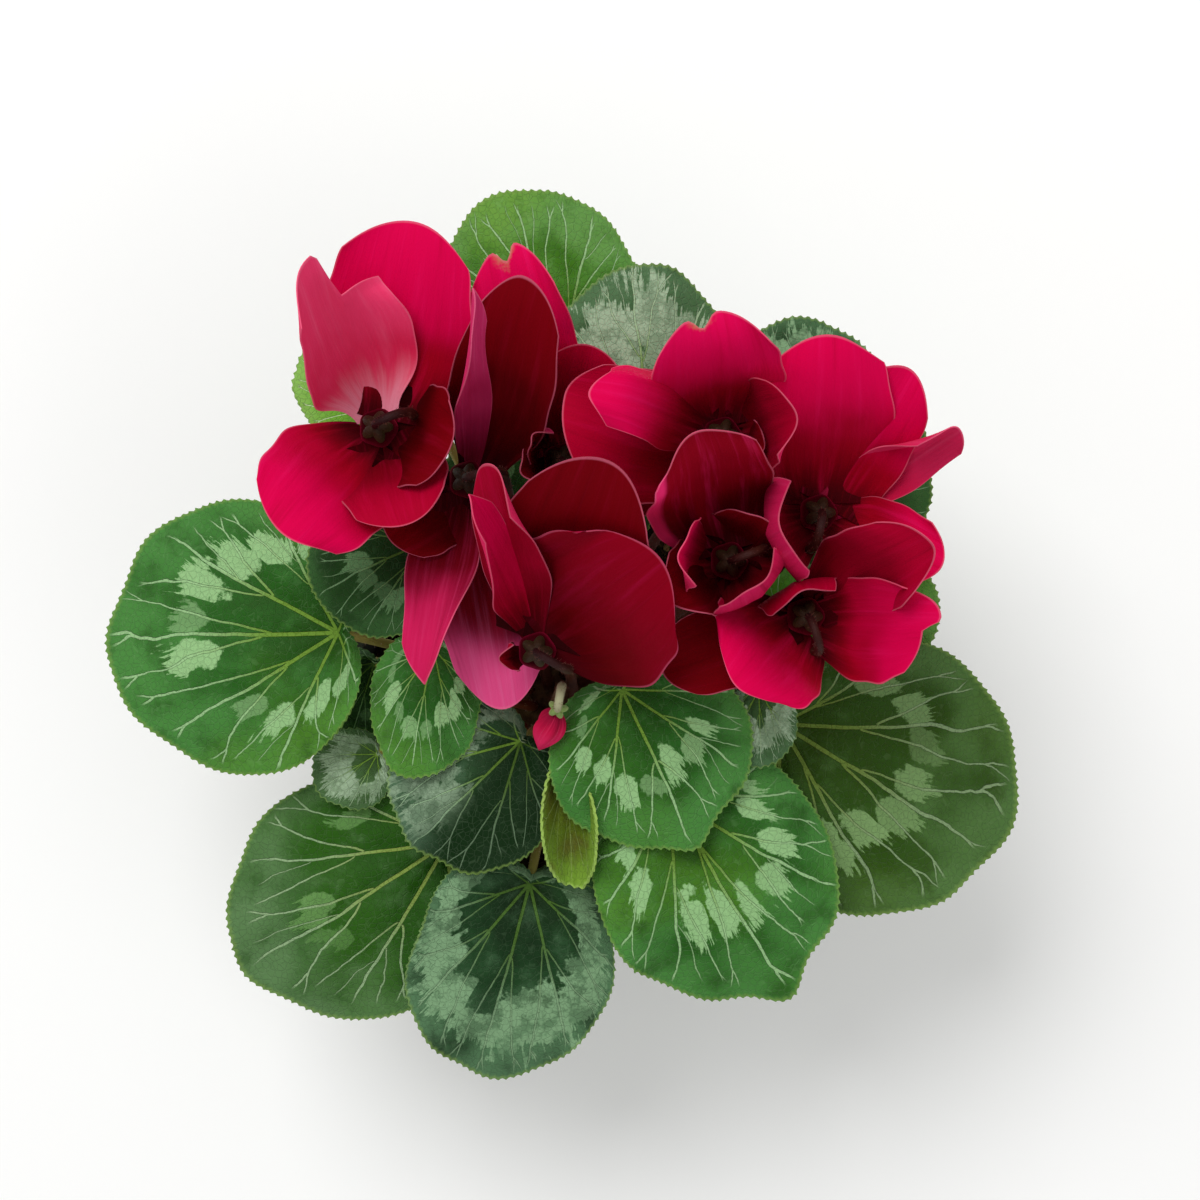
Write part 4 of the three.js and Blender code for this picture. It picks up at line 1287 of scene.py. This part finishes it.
@dataclass
class Leaf:
    """One rounded-heart leaf on its arching stalk."""

    number: int
    root: Span
    at: Spot
    heading: float
    length: float
    width: float
    pitch: float
    roll: float
    dome: float
    wave: float
    phase: float
    look: LeafLook
    curl: Curl = Curl()
    cup: float = 0.0
    point: float = 0.02
    veins: int = 7
    thickness: float = 0.7
    # The margin: how far it lies behind the stalk's end, the notch there, its teeth, and its waves' depths
    # and counts.
    lobe: float = 0.17
    sinus: float = 0.72
    sinus_width: float = 0.36
    tooth_pitch: float = 2.1
    tooth_depth: float = 1.0
    fewest_teeth: int = 14
    ripples: tuple[Span, ...] = ((0.02, 2), (0.011, 5), (0.008, 9))
    # The rows of faces on a short leaf and on a long one.
    long_from: float = 45.0
    rings: tuple[int, int] = (12, 16)
    # The blade's relief, in millimetres on a leaf as long as the model leaf.
    model_length: float = 60.0
    pads: float = 1.5
    frill: float = 0.7
    crease: float = 1.0
    swell: float = 1.6
    stalk_radius: float = 1.4
    stalk_sides: int = 12
    stalk_steps: int = 30
    straight: float = 0.1
    tucked: float = 0.6
    hairs: int = 110
    hair_length: float = 0.6

    def outline(self, angle: float) -> Vector:
        """The margin about the stalk's end, without its teeth.

        Args:
            angle: the angle from the leaf's tip.

        Returns:
            The point of the margin.
        """
        back = self.length * self.lobe
        along = (self.length - back) / 2 + (self.length + back) / 2 * math.cos(angle)
        across = self.width / 2 * math.sin(angle)
        from_sinus = (math.pi - abs(angle)) / self.sinus_width
        cut = 1 - self.sinus * math.exp(-from_sinus * from_sinus)
        lots = self.phase * 5 + self.number
        swell = sum(deep * math.sin(beats * angle + i * lots)
                    for i, (deep, beats) in enumerate(self.ripples, 1))
        point = self.point * math.exp(-(angle / 0.2) ** 2)
        return Vector((along, across, 0.0)) * (cut * (1 + swell + point))

    def measured(self, count: int = 720) -> list[float]:
        """The way round the margin.

        Args:
            count: how many even angles it is measured at.

        Returns:
            How far it is to each of them, in millimetres.
        """
        rim = [self.outline(2 * math.pi * i / count - math.pi) for i in range(count + 1)]
        gone = [0.0]
        for here, there in zip(rim, rim[1:]):
            gone.append(gone[-1] + (there - here).length)
        return gone

    def rise(self, angle: float, share: float) -> float:
        """The blade's height over its stalk: domed, waved at the margin, and padded between the veins.

        Args:
            angle: the angle from the leaf's tip.
            share: the share of the way to the margin.

        Returns:
            The height.
        """
        size = self.length / self.model_length
        dome = self.dome * (math.sin(math.pi * share) - 0.8 * share * share)
        wave = self.wave * share * share * math.sin(3 * angle + self.phase)
        pads = self.pads * size * share * (1.1 - share) * math.cos(self.veins * angle)
        frill = self.frill * size * share ** 4 * math.sin(8 * angle + 2 * self.phase)
        crease = self.crease * size * share * math.exp(-(angle / 0.16) ** 2)
        own = Vector((self.number * 3.1, 0, 0))
        bump = noise.noise(Vector((math.cos(angle), math.sin(angle), 0)) * share * 1.6 + own)
        swell = self.swell * size * share * bump
        cup = self.cup * (share * math.sin(angle)) ** 2
        curl = self.curl.height * share ** 3 * self.curl.fade(angle)
        return dome + wave - pads + frill - crease + swell + cup + curl

    def frame(self) -> Matrix:
        """Turns the blade's own frame to its place on the plant."""
        return (Matrix.Translation(self.at) @ Matrix.Rotation(math.radians(self.heading), 4, "Z")
                @ Matrix.Rotation(math.radians(-self.pitch), 4, "Y")
                @ Matrix.Rotation(math.radians(self.roll), 4, "X"))

    @staticmethod
    def outward(rows: float) -> float:
        """The share of the way to the margin at a share of the rows, which stand closer towards it."""
        return 1 - (1 - rows) ** 1.35

    def blade(self, piece: Piece) -> None:
        """Adds the toothed blade.

        Args:
            piece: the leaf.
        """
        gone = self.measured()
        last = len(gone) - 1
        teeth = max(self.fewest_teeth, round(gone[-1] / self.tooth_pitch))
        turned = self.frame()

        def place(u: float, w: float) -> Vector:
            """A point of the blade.

            Args:
                u: the share of the way round the margin.
                w: the share of the rows, from the stalk to the margin.

            Returns:
                The point.
            """
            angle = (2 * u - 1) * math.pi
            share = self.outward(w)
            low = min(int(u * last), last - 1)
            arc = gone[low] + (gone[low + 1] - gone[low]) * (u * last - low)
            beat = arc * teeth / gone[-1]
            bite = 1 - abs(math.cos(math.pi * beat)) - 0.3
            bite *= 0.75 + 0.5 * noise.noise(Vector((beat * 0.9, self.number, 0.0)))
            rim = self.outline(angle)
            reach = 1 + self.tooth_depth * bite * ease(share, 0.9, 1.0) / max(rim.length, 1.0)
            drawn = 1 - self.curl.back * share ** 3 * self.curl.fade(angle)
            spot = rim * (share * reach * drawn)
            spot.z = self.rise(angle, share) + self.thickness / 2
            return turned @ spot

        def chart(u: float, w: float) -> Span:
            """The angle counted in main veins, and the share of the way to the margin."""
            return LEAF_STEP * self.number + (u - 0.5) * self.veins, self.outward(w)

        faces = piece.grid(teeth * 4, self.rings[self.length > self.long_from], place, self.look, chart)
        bmesh.ops.reverse_faces(piece.mesh, faces=faces)
        piece.back(faces, self.thickness, UndersideFinish(), self.look)

    def stalk(self, piece: Piece) -> None:
        """Adds the stalk, straight up out of the tuber and then arching out to the blade.

        Args:
            piece: the leaf.
        """
        foot, clear = foothold(self.root)
        end = Vector(self.at) - UP * self.tucked
        out = end - foot
        climb = out.z
        out.z = 0.0
        arch = Bend(clear, clear + UP * climb * 0.5, end - out * 0.42 - UP * climb * 0.18, end)

        def path(share: float) -> Vector:
            """The point at a share of the stalk."""
            if share < self.straight:
                return foot.lerp(clear, share / self.straight)
            return arch.at((share - self.straight) / (1 - self.straight))

        def radius(share: float) -> float:
            """The stalk's radius at a share of its length."""
            return self.stalk_radius * (1.06 - 0.22 * share + 0.25 * ease(share, 0.93, 1.0))

        piece.tube(path, radius, self.stalk_sides, self.stalk_steps, StalkLook.PETIOLE)
        piece.fuzz(path, radius, self.hairs, (0.15, 0.96), self.hair_length, StalkLook.HAIR)

    def build(self) -> None:
        """Builds and dresses the leaf."""
        piece = Piece(f"leaf_{self.number:02d}_living")
        self.blade(piece)
        self.stalk(piece)
        piece.settle(f"leaf_{self.number:02d}")


# ---------------------------------------------------------------- blooms


@dataclass
class Petal:
    """One petal of a bloom, swept up and back from the tube; pairs are for its right and its left half."""

    azimuth: float
    reach: float
    rise: float
    width: float
    lift: float
    twist: float
    cup: float
    upper: PetalLook = PetalLook.VELVET
    under: PetalLook = PetalLook.PINK
    # Each half's width at its foot and in all, as shares, how far its tip is cut short, and how it rolls.
    full: Span = (0.5, 0.5)
    sides: Span = (1.0, 1.0)
    skew: Span = (0.0, 0.0)
    hem: Span = (0.0, 0.0)
    # How deep it is folded along its middle, how its tip rolls, and how deep its tip is notched.
    fold: float = 0.0
    roll: float = 0.0
    notch: float = 0.0
    ruffle: float = 0.8
    crease: float = 0.45
    widest: float = 0.5
    swell: float = 1.3
    tip_width: float = 0.8
    tip_rounding: float = 0.15
    thickness: float = 0.3
    mouth_reach: float = 2.4
    mouth_drop: float = 6.5
    dip: float = 6.0
    across: int = 24
    along: int = 40

    def curve(self, centre: Vector) -> Bend:
        """The line down its middle: out of the tube's mouth, and then up to its tip.

        Args:
            centre: the bloom's middle.

        Returns:
            The line.
        """
        out = heading(self.azimuth)
        base = centre + out * self.mouth_reach - UP * self.mouth_drop
        tip = centre + out * self.reach + UP * self.rise
        span = (tip - base).length
        slope = math.radians(self.lift)
        ending = out * math.cos(slope) + UP * math.sin(slope)
        return Bend(base, base + out * (4 + span * 0.16) - UP * self.dip, tip - ending * (span * 0.42), tip)

    def breadth(self, share: float, half: int) -> float:
        """Half its width.

        Args:
            share: the share of its length.
            half: 0 for its right half, 1 for its left.

        Returns:
            The distance from its middle line to its margin.
        """
        full, most = self.full[half], self.width / 2 * self.sides[half]
        if share < self.widest:
            return most * (full + (1 - full) * math.sin(math.pi / 2 * share / self.widest) ** self.swell)
        late = (share - self.widest) / (1 - self.widest)
        return most * (1 - (1 - self.tip_width) * late * late)

    def grow(self, piece: Piece, centre: Vector, number: int) -> None:
        """Adds the petal to its bloom.

        Args:
            piece: the bloom's petals.
            centre: the bloom's middle.
            number: the petal's number, which varies its streaks.
        """
        curve = self.curve(centre)
        flat = heading(self.azimuth + 90)
        phase = number * 1.9 + self.azimuth

        def place(u: float, w: float) -> Vector:
            """A point of the petal.

            Args:
                u: the share of the way across it.
                w: the share of the way along it.

            Returns:
                The point.
            """
            side = 2 * u - 1
            half = 1 if side > 0 else 0
            out = abs(side)
            notch = self.notch * math.exp(-((side - 0.1) / 0.16) ** 2)
            short = self.skew[half] * ease(out, 0.04, 0.26) + notch
            along = w * (1 - self.tip_rounding * out * out * w * w) * (1 - short * w)
            run = curve.run(along)
            aside = Quaternion(run, math.radians(self.twist) * w) @ flat
            face = run.cross(aside).normalized()
            edge = 1 + 0.02 * math.sin(w * 17 + phase) * side * side
            offset = math.copysign(self.breadth(w, half) * out * edge, side)
            ripple = self.ruffle * out ** 3 * w * math.sin(w * 9 + phase + side * 1.3)
            valley = self.fold * (out ** 1.3 - 0.4) * math.sin(math.pi * min(1.0, w * 1.1)) ** 0.7
            crease = self.crease * math.exp(-(side / 0.12) ** 2) * math.sin(math.pi * w)
            lips = 0.5 * w ** 6 * math.sin(side * 5 + phase) + self.roll * ease(w, 0.76, 1.0) ** 2
            hems = self.hem[half] * ease(out, 0.55, 1.0) ** 2 * ease(w, 0.1, 0.5)
            rise = self.cup * side * side * w + ripple - crease + lips + valley + hems
            return curve.at(along) + aside * offset + face * rise

        faces = piece.grid(self.across, self.along, place, self.upper,
                           lambda u, w: (number + (2 * u - 1) * PETAL_HALF, w))
        bmesh.ops.reverse_faces(piece.mesh, faces=faces)
        piece.back(faces, self.thickness, self.under, self.upper)


@dataclass
class Bloom:
    """One flower: its stalk with the calyx, and its petals on their tube."""

    name: str
    root: Span
    at: Spot
    side: float
    petals: Sequence[Petal] = ()
    first: int = 0
    hook_reach: float = 9.0
    hook_height: float = 10.0
    stalk_radius: float = 1.6
    stalk_sides: int = 12
    stalk_steps: int = 64
    hairs: int = 170
    hair_length: float = 0.7
    calyx_radius: float = 5.2
    calyx_spread: float = 0.78
    calyx_top: float = 2.4
    calyx_sides: int = 40
    calyx_rows: int = 10
    sepal_gap: float = 1.4
    sepal_length: float = 1.8
    sepal_thickness: float = 0.6
    tube_radius: float = 4.6
    # The tube's section, as shares of its radius and heights, and how far it swells at each petal.
    tube: tuple[Span, ...] = ((0, -8.2), (0.5, -8.6), (0.85, -9.5), (1, -6.5), (0.8, -2.3), (0, -2.3))
    tube_swell: float = 0.05
    tube_sides: int = 40
    stalk_look: StalkLook = StalkLook.PEDUNCLE
    calyx_look: StalkLook = StalkLook.CALYX

    def path(self) -> Path:
        """The stalk's line: it climbs beside its bloom, hooks over and comes down on the calyx.

        Returns:
            A function that gives the point at a share of the way.
        """
        side = heading(self.side)

        def near(reach: float, height: float) -> Vector:
            """A point of the hook, in shares of its reach and height."""
            return Vector(self.at) + side * (reach * self.hook_reach) + UP * (height * self.hook_height)

        foot, clear = foothold(self.root)
        shoulder, crest = near(1, -0.4), near(0.45, 1)
        climb = shoulder.z - clear.z
        parts = [
            (0.06, Bend(foot, foot.lerp(clear, 0.33), foot.lerp(clear, 0.67), clear)),
            (0.66, Bend(clear, clear + UP * climb * 0.4, shoulder - UP * climb * 0.35, shoulder)),
            (0.84, Bend(shoulder, near(1, 0.3), near(0.85, 1), crest)),
            (1.0, Bend(crest, near(0.1, 1), near(0, 0.7), near(0, 0.16))),
        ]

        def along(share: float) -> Vector:
            """A point of the stalk, on the part of it that reaches so far.

            Args:
                share: the share of the way.

            Returns:
                The point.
            """
            start = 0.0
            for end, bend in parts:
                if share <= end + 1e-9:
                    return bend.at((share - start) / (end - start))
                start = end
            return parts[-1][1].end

        return along

    def stem(self) -> None:
        """Builds the hairy stalk and the calyx of five pointed sepals."""
        piece = Piece(self.name + "_flower_stalk")

        def radius(share: float) -> float:
            """The stalk's radius at a share of its length."""
            return self.stalk_radius * (1.08 - 0.5 * share)

        piece.tube(self.path(), radius, self.stalk_sides, self.stalk_steps, self.stalk_look)
        piece.fuzz(self.path(), radius, self.hairs, (0.1, 0.97), self.hair_length, StalkLook.DARK_HAIR)

        def place(u: float, w: float) -> Vector:
            """A point of the calyx.

            Args:
                u: the share of the way round it.
                w: the share of the way down it.

            Returns:
                The point.
            """
            point = abs(math.cos(PETALS * math.pi * u)) ** 1.4
            reach = self.calyx_radius * self.calyx_spread * (0.6 + 0.4 * point)
            spread = reach * math.sin(w * math.pi / 2) ** 0.9
            drop = -self.sepal_gap - self.sepal_length * point - self.calyx_top
            return Vector(self.at) + heading(360 * u) * spread + UP * (self.calyx_top + drop * w ** 1.7)

        faces = piece.grid(self.calyx_sides, self.calyx_rows, place, self.calyx_look, closed=True)
        self.face_up(piece, faces)
        piece.back(faces, self.sepal_thickness, self.calyx_look, self.calyx_look)
        piece.settle(self.name + "_stem")

    @staticmethod
    def face_up(piece: Piece, faces: list) -> None:
        """Turns a sheet over if it faces down.

        Args:
            piece: the piece that it is part of.
            faces: the sheet.
        """
        piece.mesh.normal_update()
        if sum(face.normal.z * face.calc_area() for face in faces) < 0:
            bmesh.ops.reverse_faces(piece.mesh, faces=faces)

    def crown(self) -> None:
        """Builds the tube and the petals grown together on it."""
        piece = Piece(self.name + "_corolla")
        centre = Vector(self.at)
        outline = [(wide * self.tube_radius, height) for wide, height in self.tube]
        piece.turned(rounded(outline, 4), self.tube_sides, PetalLook.TUBE, centre, self.tube_swell)
        for number, petal in enumerate(self.petals, self.first):
            petal.grow(piece, centre, number)
        piece.settle(self.name + "_petals")

    def build(self) -> None:
        """Builds and dresses the bloom."""
        self.stem()
        self.crown()


@dataclass
class Bud(Bloom):
    """The one closed bud, its petals still rolled into a point."""

    tip: Spot = (-6.0, -13.5, 157.0)
    neck: float = 2.3
    radius: float = 3.6
    turns: float = 0.6
    flute: float = 0.16
    around: int = 60
    along: int = 36
    streaked_as: int = 41

    def crown(self) -> None:
        """Builds the rolled petals."""
        piece = Piece(self.name + "_rolled_petals")
        start = Vector(self.at) - UP * self.neck
        axis = Vector(self.tip) - start
        spin = UP.rotation_difference(axis.normalized())

        def place(u: float, w: float) -> Vector:
            """A point of the rolled petals.

            Args:
                u: the share of the way round them.
                w: the share of the way along them.

            Returns:
                The point.
            """
            angle = 2 * math.pi * u
            girth = self.radius * math.sin(math.pi * w ** 0.8) * (1 - self.flute * math.cos(PETALS * angle))
            turn = angle + self.turns * w
            return start + spin @ Vector((girth * math.cos(turn), girth * math.sin(turn), axis.length * w))

        def chart(u: float, w: float) -> Span:
            """The place across one of the rolled petals, and along it."""
            return self.streaked_as + (u % (1 / PETALS) * PETALS * 2 - 1) * PETAL_HALF, w

        piece.grid(self.around, self.along, place, PetalLook.PINK, chart, closed=True)
        piece.settle(self.name + "_petals")


# ---------------------------------------------------------------- studio


@dataclass(frozen=True)
class Lamp:
    """A soft light turned to the plant: its place and width in metres, and its power in watts."""

    name: str
    at: Spot
    size: float
    power: float

    def hang(self, towards: Vector) -> None:
        """Hangs the light.

        Args:
            towards: what it is turned to.
        """
        data = bpy.data.lights.new(self.name, "AREA")
        data.shape = "DISK"
        data.size = self.size
        data.energy = self.power
        made = put(self.name, data)
        made.location = self.at
        made.rotation_mode = "QUATERNION"
        made.rotation_quaternion = (towards - Vector(self.at)).to_track_quat("-Z", "Y")


@dataclass
class Studio:
    """A pale sweep, soft light from all round and from above, and the camera straight over the plant."""

    eye: Spot = (0.0095, 0.0245, 0.805)
    lens: float = 77.0
    plant: Spot = (0.0, 0.0, 0.15)
    lamps: tuple[Lamp, ...] = (Lamp("key", (-0.45, 0.75, 1.6), 0.9, 17.0),
                               Lamp("fill", (0.9, -0.7, 1.4), 1.4, 4.0))
    sky: Colour = (1.0, 1.0, 1.0, 1.0)
    sky_strength: float = 0.56
    floor_reach: float = 3.0
    floor_level: float = -0.0002

    def camera(self) -> None:
        """Sets up the camera."""
        data = bpy.data.cameras.new("camera")
        data.lens = self.lens
        data.sensor_width = 36.0
        data.clip_start = 0.01
        made = put("camera", data)
        made.location = self.eye
        bpy.context.scene.camera = made

    def floor(self) -> None:
        """Lays the floor."""
        sheet = bmesh.new()
        bmesh.ops.create_grid(sheet, x_segments=8, y_segments=8, size=self.floor_reach)
        data = mesh_of("floor", sheet)
        data.materials.append(Paintbox.of(FloorFinish()))
        data.transform(Matrix.Translation((0.0, 0.0, self.floor_level)))
        made = put("floor", data)

    def build(self) -> None:
        """Sets the studio up."""
        self.camera()
        self.floor()
        for lamp in self.lamps:
            lamp.hang(Vector(self.plant))
        world = bpy.data.worlds.new("studio")
        world.use_nodes = True
        backdrop = world.node_tree.nodes["Background"]
        backdrop.inputs[0].default_value = self.sky
        backdrop.inputs[1].default_value = self.sky_strength
        bpy.context.scene.world = world
        bpy.context.scene.view_settings.view_transform = "Standard"


# ---------------------------------------------------------------- the plant

MARBLED, DUSKY, WORN, BRIGHT, SILVERED, FOLDED_SHADED, GREYED, DEEP, YOUNG, FURLED = LeafLook
VELVET, WINE, DARK, CLARET, FLANKED, PINK, ROSE, MAUVE, BLUSHED, CRIMSON, DRIED, _ = PetalLook

# Each leaf: number, root, stalk's end, heading, length, width, pitch, roll, dome, wave, phase and look, and
# the curl of its margin where it has one.
LEAVES = [
    Leaf(1, (160, 15.6), (-58, 16, 141), -178, 62, 72, -8, 4, 3, 2.4, 0.4, MARBLED, Curl(150, 22, 5)),
    Leaf(2, (153, 10), (-35, 39, 155), -157, 31, 40, -10, 0, 2, 1.6, 1.2, DEEP),
    Leaf(3, (207, 10), (-50, 8, 127), -108, 23, 26, -8, 0, 1.5, 1, 0, DEEP),
    Leaf(4, (180, 10), (-33, 12, 148), -101, 33, 30, -5, 8, 2, 1.4, 2, MARBLED),
    Leaf(5, (186, 15.6), (-49, -16, 130), -149, 19, 22, -8, 0, 1, 1, 1, SILVERED),
    Leaf(6, (222, 15.6), (-31, -40, 121), -147, 66, 65, -5, -4, 3, 2.2, 2.2, WORN, Curl(-140, 20, 6, 0.05)),
    Leaf(7, (237, 10), (-11, -12, 141), -136, 40, 46, -6, 0, 3, 2.5, 0.8, FOLDED_SHADED, Curl(70, 30, 6, 0.06),
         cup=6.0),
    Leaf(8, (262, 15.6), (-9, -50, 129), -105, 55, 56, -9, -5, 3, 2.4, 3.4, GREYED, Curl(-100, 24, 9, 0.12)),
    Leaf(9, (325, 10), (15, 2, 157), -65, 43, 52, -7, 0, 3, 2, 1.6, MARBLED, point=0.07),
    Leaf(10, (312, 15.6), (27, -26, 144), -59, 60, 62, -8, -3, 4, 2.6, 0.2, MARBLED, point=0.08),
    Leaf(11, (344, 15.6), (57, -8, 131), -31, 68, 76, -7, 4, 4, 2.8, 2.8, DUSKY),
    Leaf(12, (270, 10), (1, -20, 148), -87, 30, 13, -12, 0, -2, 0.6, 0, FURLED, cup=8.0, veins=5),
    Leaf(13, (297, 10), (8, -28, 136), -100, 23, 21, -3, 0, 1.5, 1, 1, DEEP),
    Leaf(14, (99, 10), (0, 88, 136), 108, 46, 50, -3, 0, 3, 2.2, 0.9, BRIGHT),
    Leaf(15, (68, 15.6), (22, 68, 149), 96, 42, 47, -4, 0, 3, 2, 2.4, SILVERED),
    Leaf(16, (48, 15.6), (61, 62, 140), 80, 36, 44, -5, 0, 2.5, 2, 0.5, GREYED),
    Leaf(17, (126, 15.6), (-47, 73, 129), 146, 28, 28, -4, 0, 2, 1.4, 1.4, YOUNG, Curl(60, 30, 6, 0.1)),
    Leaf(18, (28, 15.6), (60, 40, 132), 40, 44, 44, -5, 0, 2, 1.4, 0.3, DEEP),
    Leaf(19, (8, 15.6), (58, 20, 124), 5, 42, 44, -4, 0, 2, 1.6, 2, BRIGHT),
    Leaf(20, (353, 10), (50, 2, 150), -88, 20, 20, -8, 0, 1, 0.8, 0, SILVERED),
    Leaf(21, (107, 15.6), (-34, 74, 143), 98, 34, 36, -4, 0, 2, 1.8, 0.6, BRIGHT),
    Leaf(22, (88, 15.6), (-5, 36, 117), 89, 45, 60, -3, 0, 2, 1.8, 1.1, DEEP),
]

# Each bloom: name, root, middle, the side that its stalk climbs on, and its petals. Each petal: azimuth,
# reach, rise, width, lift, twist and cup; then its two sides, where they aren't velvet over pink.
BLOOMS = [
    Bloom("bloom_a", (126, 10), (-44, 66, 192), 22, [
        Petal(79, 49, 6, 37, 0, 0, 2, full=(0.5, 0.6)),
        Petal(108, 38, 34, 26, 45, 45, 4, ROSE, skew=(0.24, 0.0), fold=5.5, sides=(1.15, 1.15),
              full=(0.4, 0.3), tip_width=0.95, tip_rounding=0.1),
        Petal(-129, 33.5, 10, 33, -5, -8, -3, full=(0.3, 0.7), swell=0.9),
        Petal(-72, 25, 6, 27, 5, 0, 2, WINE, full=(0.7, 0.7)),
        Petal(-24, 19, 8, 16, 30, 0, 2, DARK, WINE, full=(0.8, 0.8), sides=(1.4, 1.9))]),
    Bloom("bloom_b", (164, 4.7), (-23, 54, 182), 10, [
        Petal(84, 41, 44, 10, 35, 80, 1.5, MAUVE, MAUVE),
        Petal(72, 48, 28, 26, 5, 0, 2, DARK, WINE, sides=(1.15, 0.8), full=(0.5, 0.3), fold=3.0),
        Petal(-102, 51, 0, 16, -10, 55, 2, CRIMSON, MAUVE, full=(0.6, 0.4), sides=(1.4, 1.0)),
        Petal(-81, 57.5, -20, 27, -15, 0, -2, BLUSHED, full=(0.6, 0.6)),
        Petal(-142, 24, -4, 22, 0, 0, 2, DARK, WINE)]),
    Bloom("bloom_c", (308, 4.7), (-6, 12, 181), -30, [
        Petal(37, 37, 25, 46, 8, 5, -3, CLARET, full=(0.2, 0.8), swell=0.7, hem=(0.0, 5.0), tip_width=0.74,
              tip_rounding=0.2),
        Petal(112, 39, 36, 14, 50, 75, 2, full=(0.25, 0.25)),
        Petal(103, 45, 32, 17, 45, -50, 2, WINE, full=(0.3, 0.3)),
        Petal(70, 48, 31, 38, 30, 0, 4, DARK, full=(0.6, 0.6)),
        Petal(-165, 9, 2, 12, 30, 0, 2, DARK, WINE, sides=(0.6, 0.6))]),
    Bloom("bloom_d", (72, 10), (39, 64, 192), -120, [
        Petal(166, 33, 34, 20, 0, 10, -2, sides=(1.0, 0.75), full=(0.9, 0.6), roll=-2.0, hem=(-3.0, 0.0)),
        Petal(101, 27, 26, 33, 12, 0, 4, DRIED, notch=0.08),
        Petal(167, 39, 8, 22, -5, 0, 2, WINE, WINE, sides=(1.0, 1.9), full=(0.5, 0.7)),
        Petal(16, 16, 20, 22, 60, 0, 3, WINE),
        Petal(-18, 10, 2, 12, 30, 0, 2, DARK, WINE)]),
    Bloom("bloom_e", (46, 10), (63.5, 46, 176), -102, [
        Petal(91, 41, 25, 35, 5, 0, -3, full=(0.6, 0.6)),
        Petal(60, 39, 17, 26, 22, 10, 2, sides=(0.95, 1.0), full=(0.9, 0.5)),
        Petal(32, 36, 19, 15, 70, 50, 3, PINK),
        Petal(-158, 12, 26, 27, 118, -10, 7, WINE, CRIMSON, full=(0.4, 0.6)),
        Petal(-24, 32, 6, 20, 5, 0, 2)]),
    Bloom("bloom_f", (20, 4.7), (41, 34, 184), 20, [
        Petal(107, 27, 40, 33, 75, 10, 6, FLANKED, full=(0.6, 0.6), roll=-3.0, hem=(0.0, -2.0),
              sides=(0.9, 1.0)),
        Petal(-152, 18, 14, 20, 30, 0, 3, DARK, WINE),
        Petal(172, 13, 28, 18, 80, 0, 3),
        Petal(-50, 8, 16, 23, 125, 0, 5, WINE, CRIMSON, full=(0.5, 0.5)),
        Petal(58, 12, 12, 12, 60, 0, 2, DARK, WINE, full=(0.9, 0.9), sides=(2.2, 1.6))]),
    Bloom("bloom_g", (20, 10), (60, 20.5, 180), -72, [
        Petal(-137, 24.5, 10, 31, -5, 0, -2, full=(0.4, 0.5), swell=0.6, tip_width=0.72, tip_rounding=0.27,
              sides=(1.15, 1.05)),
        Petal(0, 30, 20, 26, 30, 12, 3, sides=(1.25, 0.75), skew=(0.1, 0.0), full=(0.5, 0.5), swell=0.8),
        Petal(34, 30, 30, 24, 60, 0, 5, WINE, roll=-2.0, sides=(0.85, 1.1)),
        Petal(112, 6, 11, 20, 120, 0, 4, DARK, WINE, full=(0.6, 0.6)),
        Petal(-160, 38, -4, 22, -15, 0, 1, DARK, WINE)]),
    Bloom("bloom_h", (92, 4.7), (0, 59, 171), -60, [
        Petal(104, 52, 25, 26, 5, -6, 2, DRIED, sides=(0.85, 1.15), notch=0.06),
        Petal(76, 28, 14, 26, 10, 10, 2, WINE),
        Petal(150, 8, 20, 10, 80, 0, 2, DARK, MAUVE),
        Petal(195, 10, 12, 12, 60, 0, 2, DARK, WINE),
        Petal(3, 29, 6, 22, 10, 0, 2, DARK, WINE, sides=(1.5, 1.2))]),
]

BUD = Bud("bud", (236, 4.7), (-1, -2.5, 168), 80, hook_reach=5.5, hook_height=7.0, calyx_radius=3.4,
          stalk_look=StalkLook.BUD_STALK, calyx_look=StalkLook.BUD_CALYX)


def main() -> None:
    """Builds the studio and then the plant, from the pot up."""
    logging.basicConfig(level=logging.INFO, format="%(message)s")
    Studio().build()
    pot = Pot()
    for number, bloom in enumerate(BLOOMS):
        bloom.first = number * PETALS
    for part in (pot, Soil(pot), Tuber(), *LEAVES, *BLOOMS, BUD):
        part.build()
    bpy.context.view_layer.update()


if __name__ == "__main__":
    main()
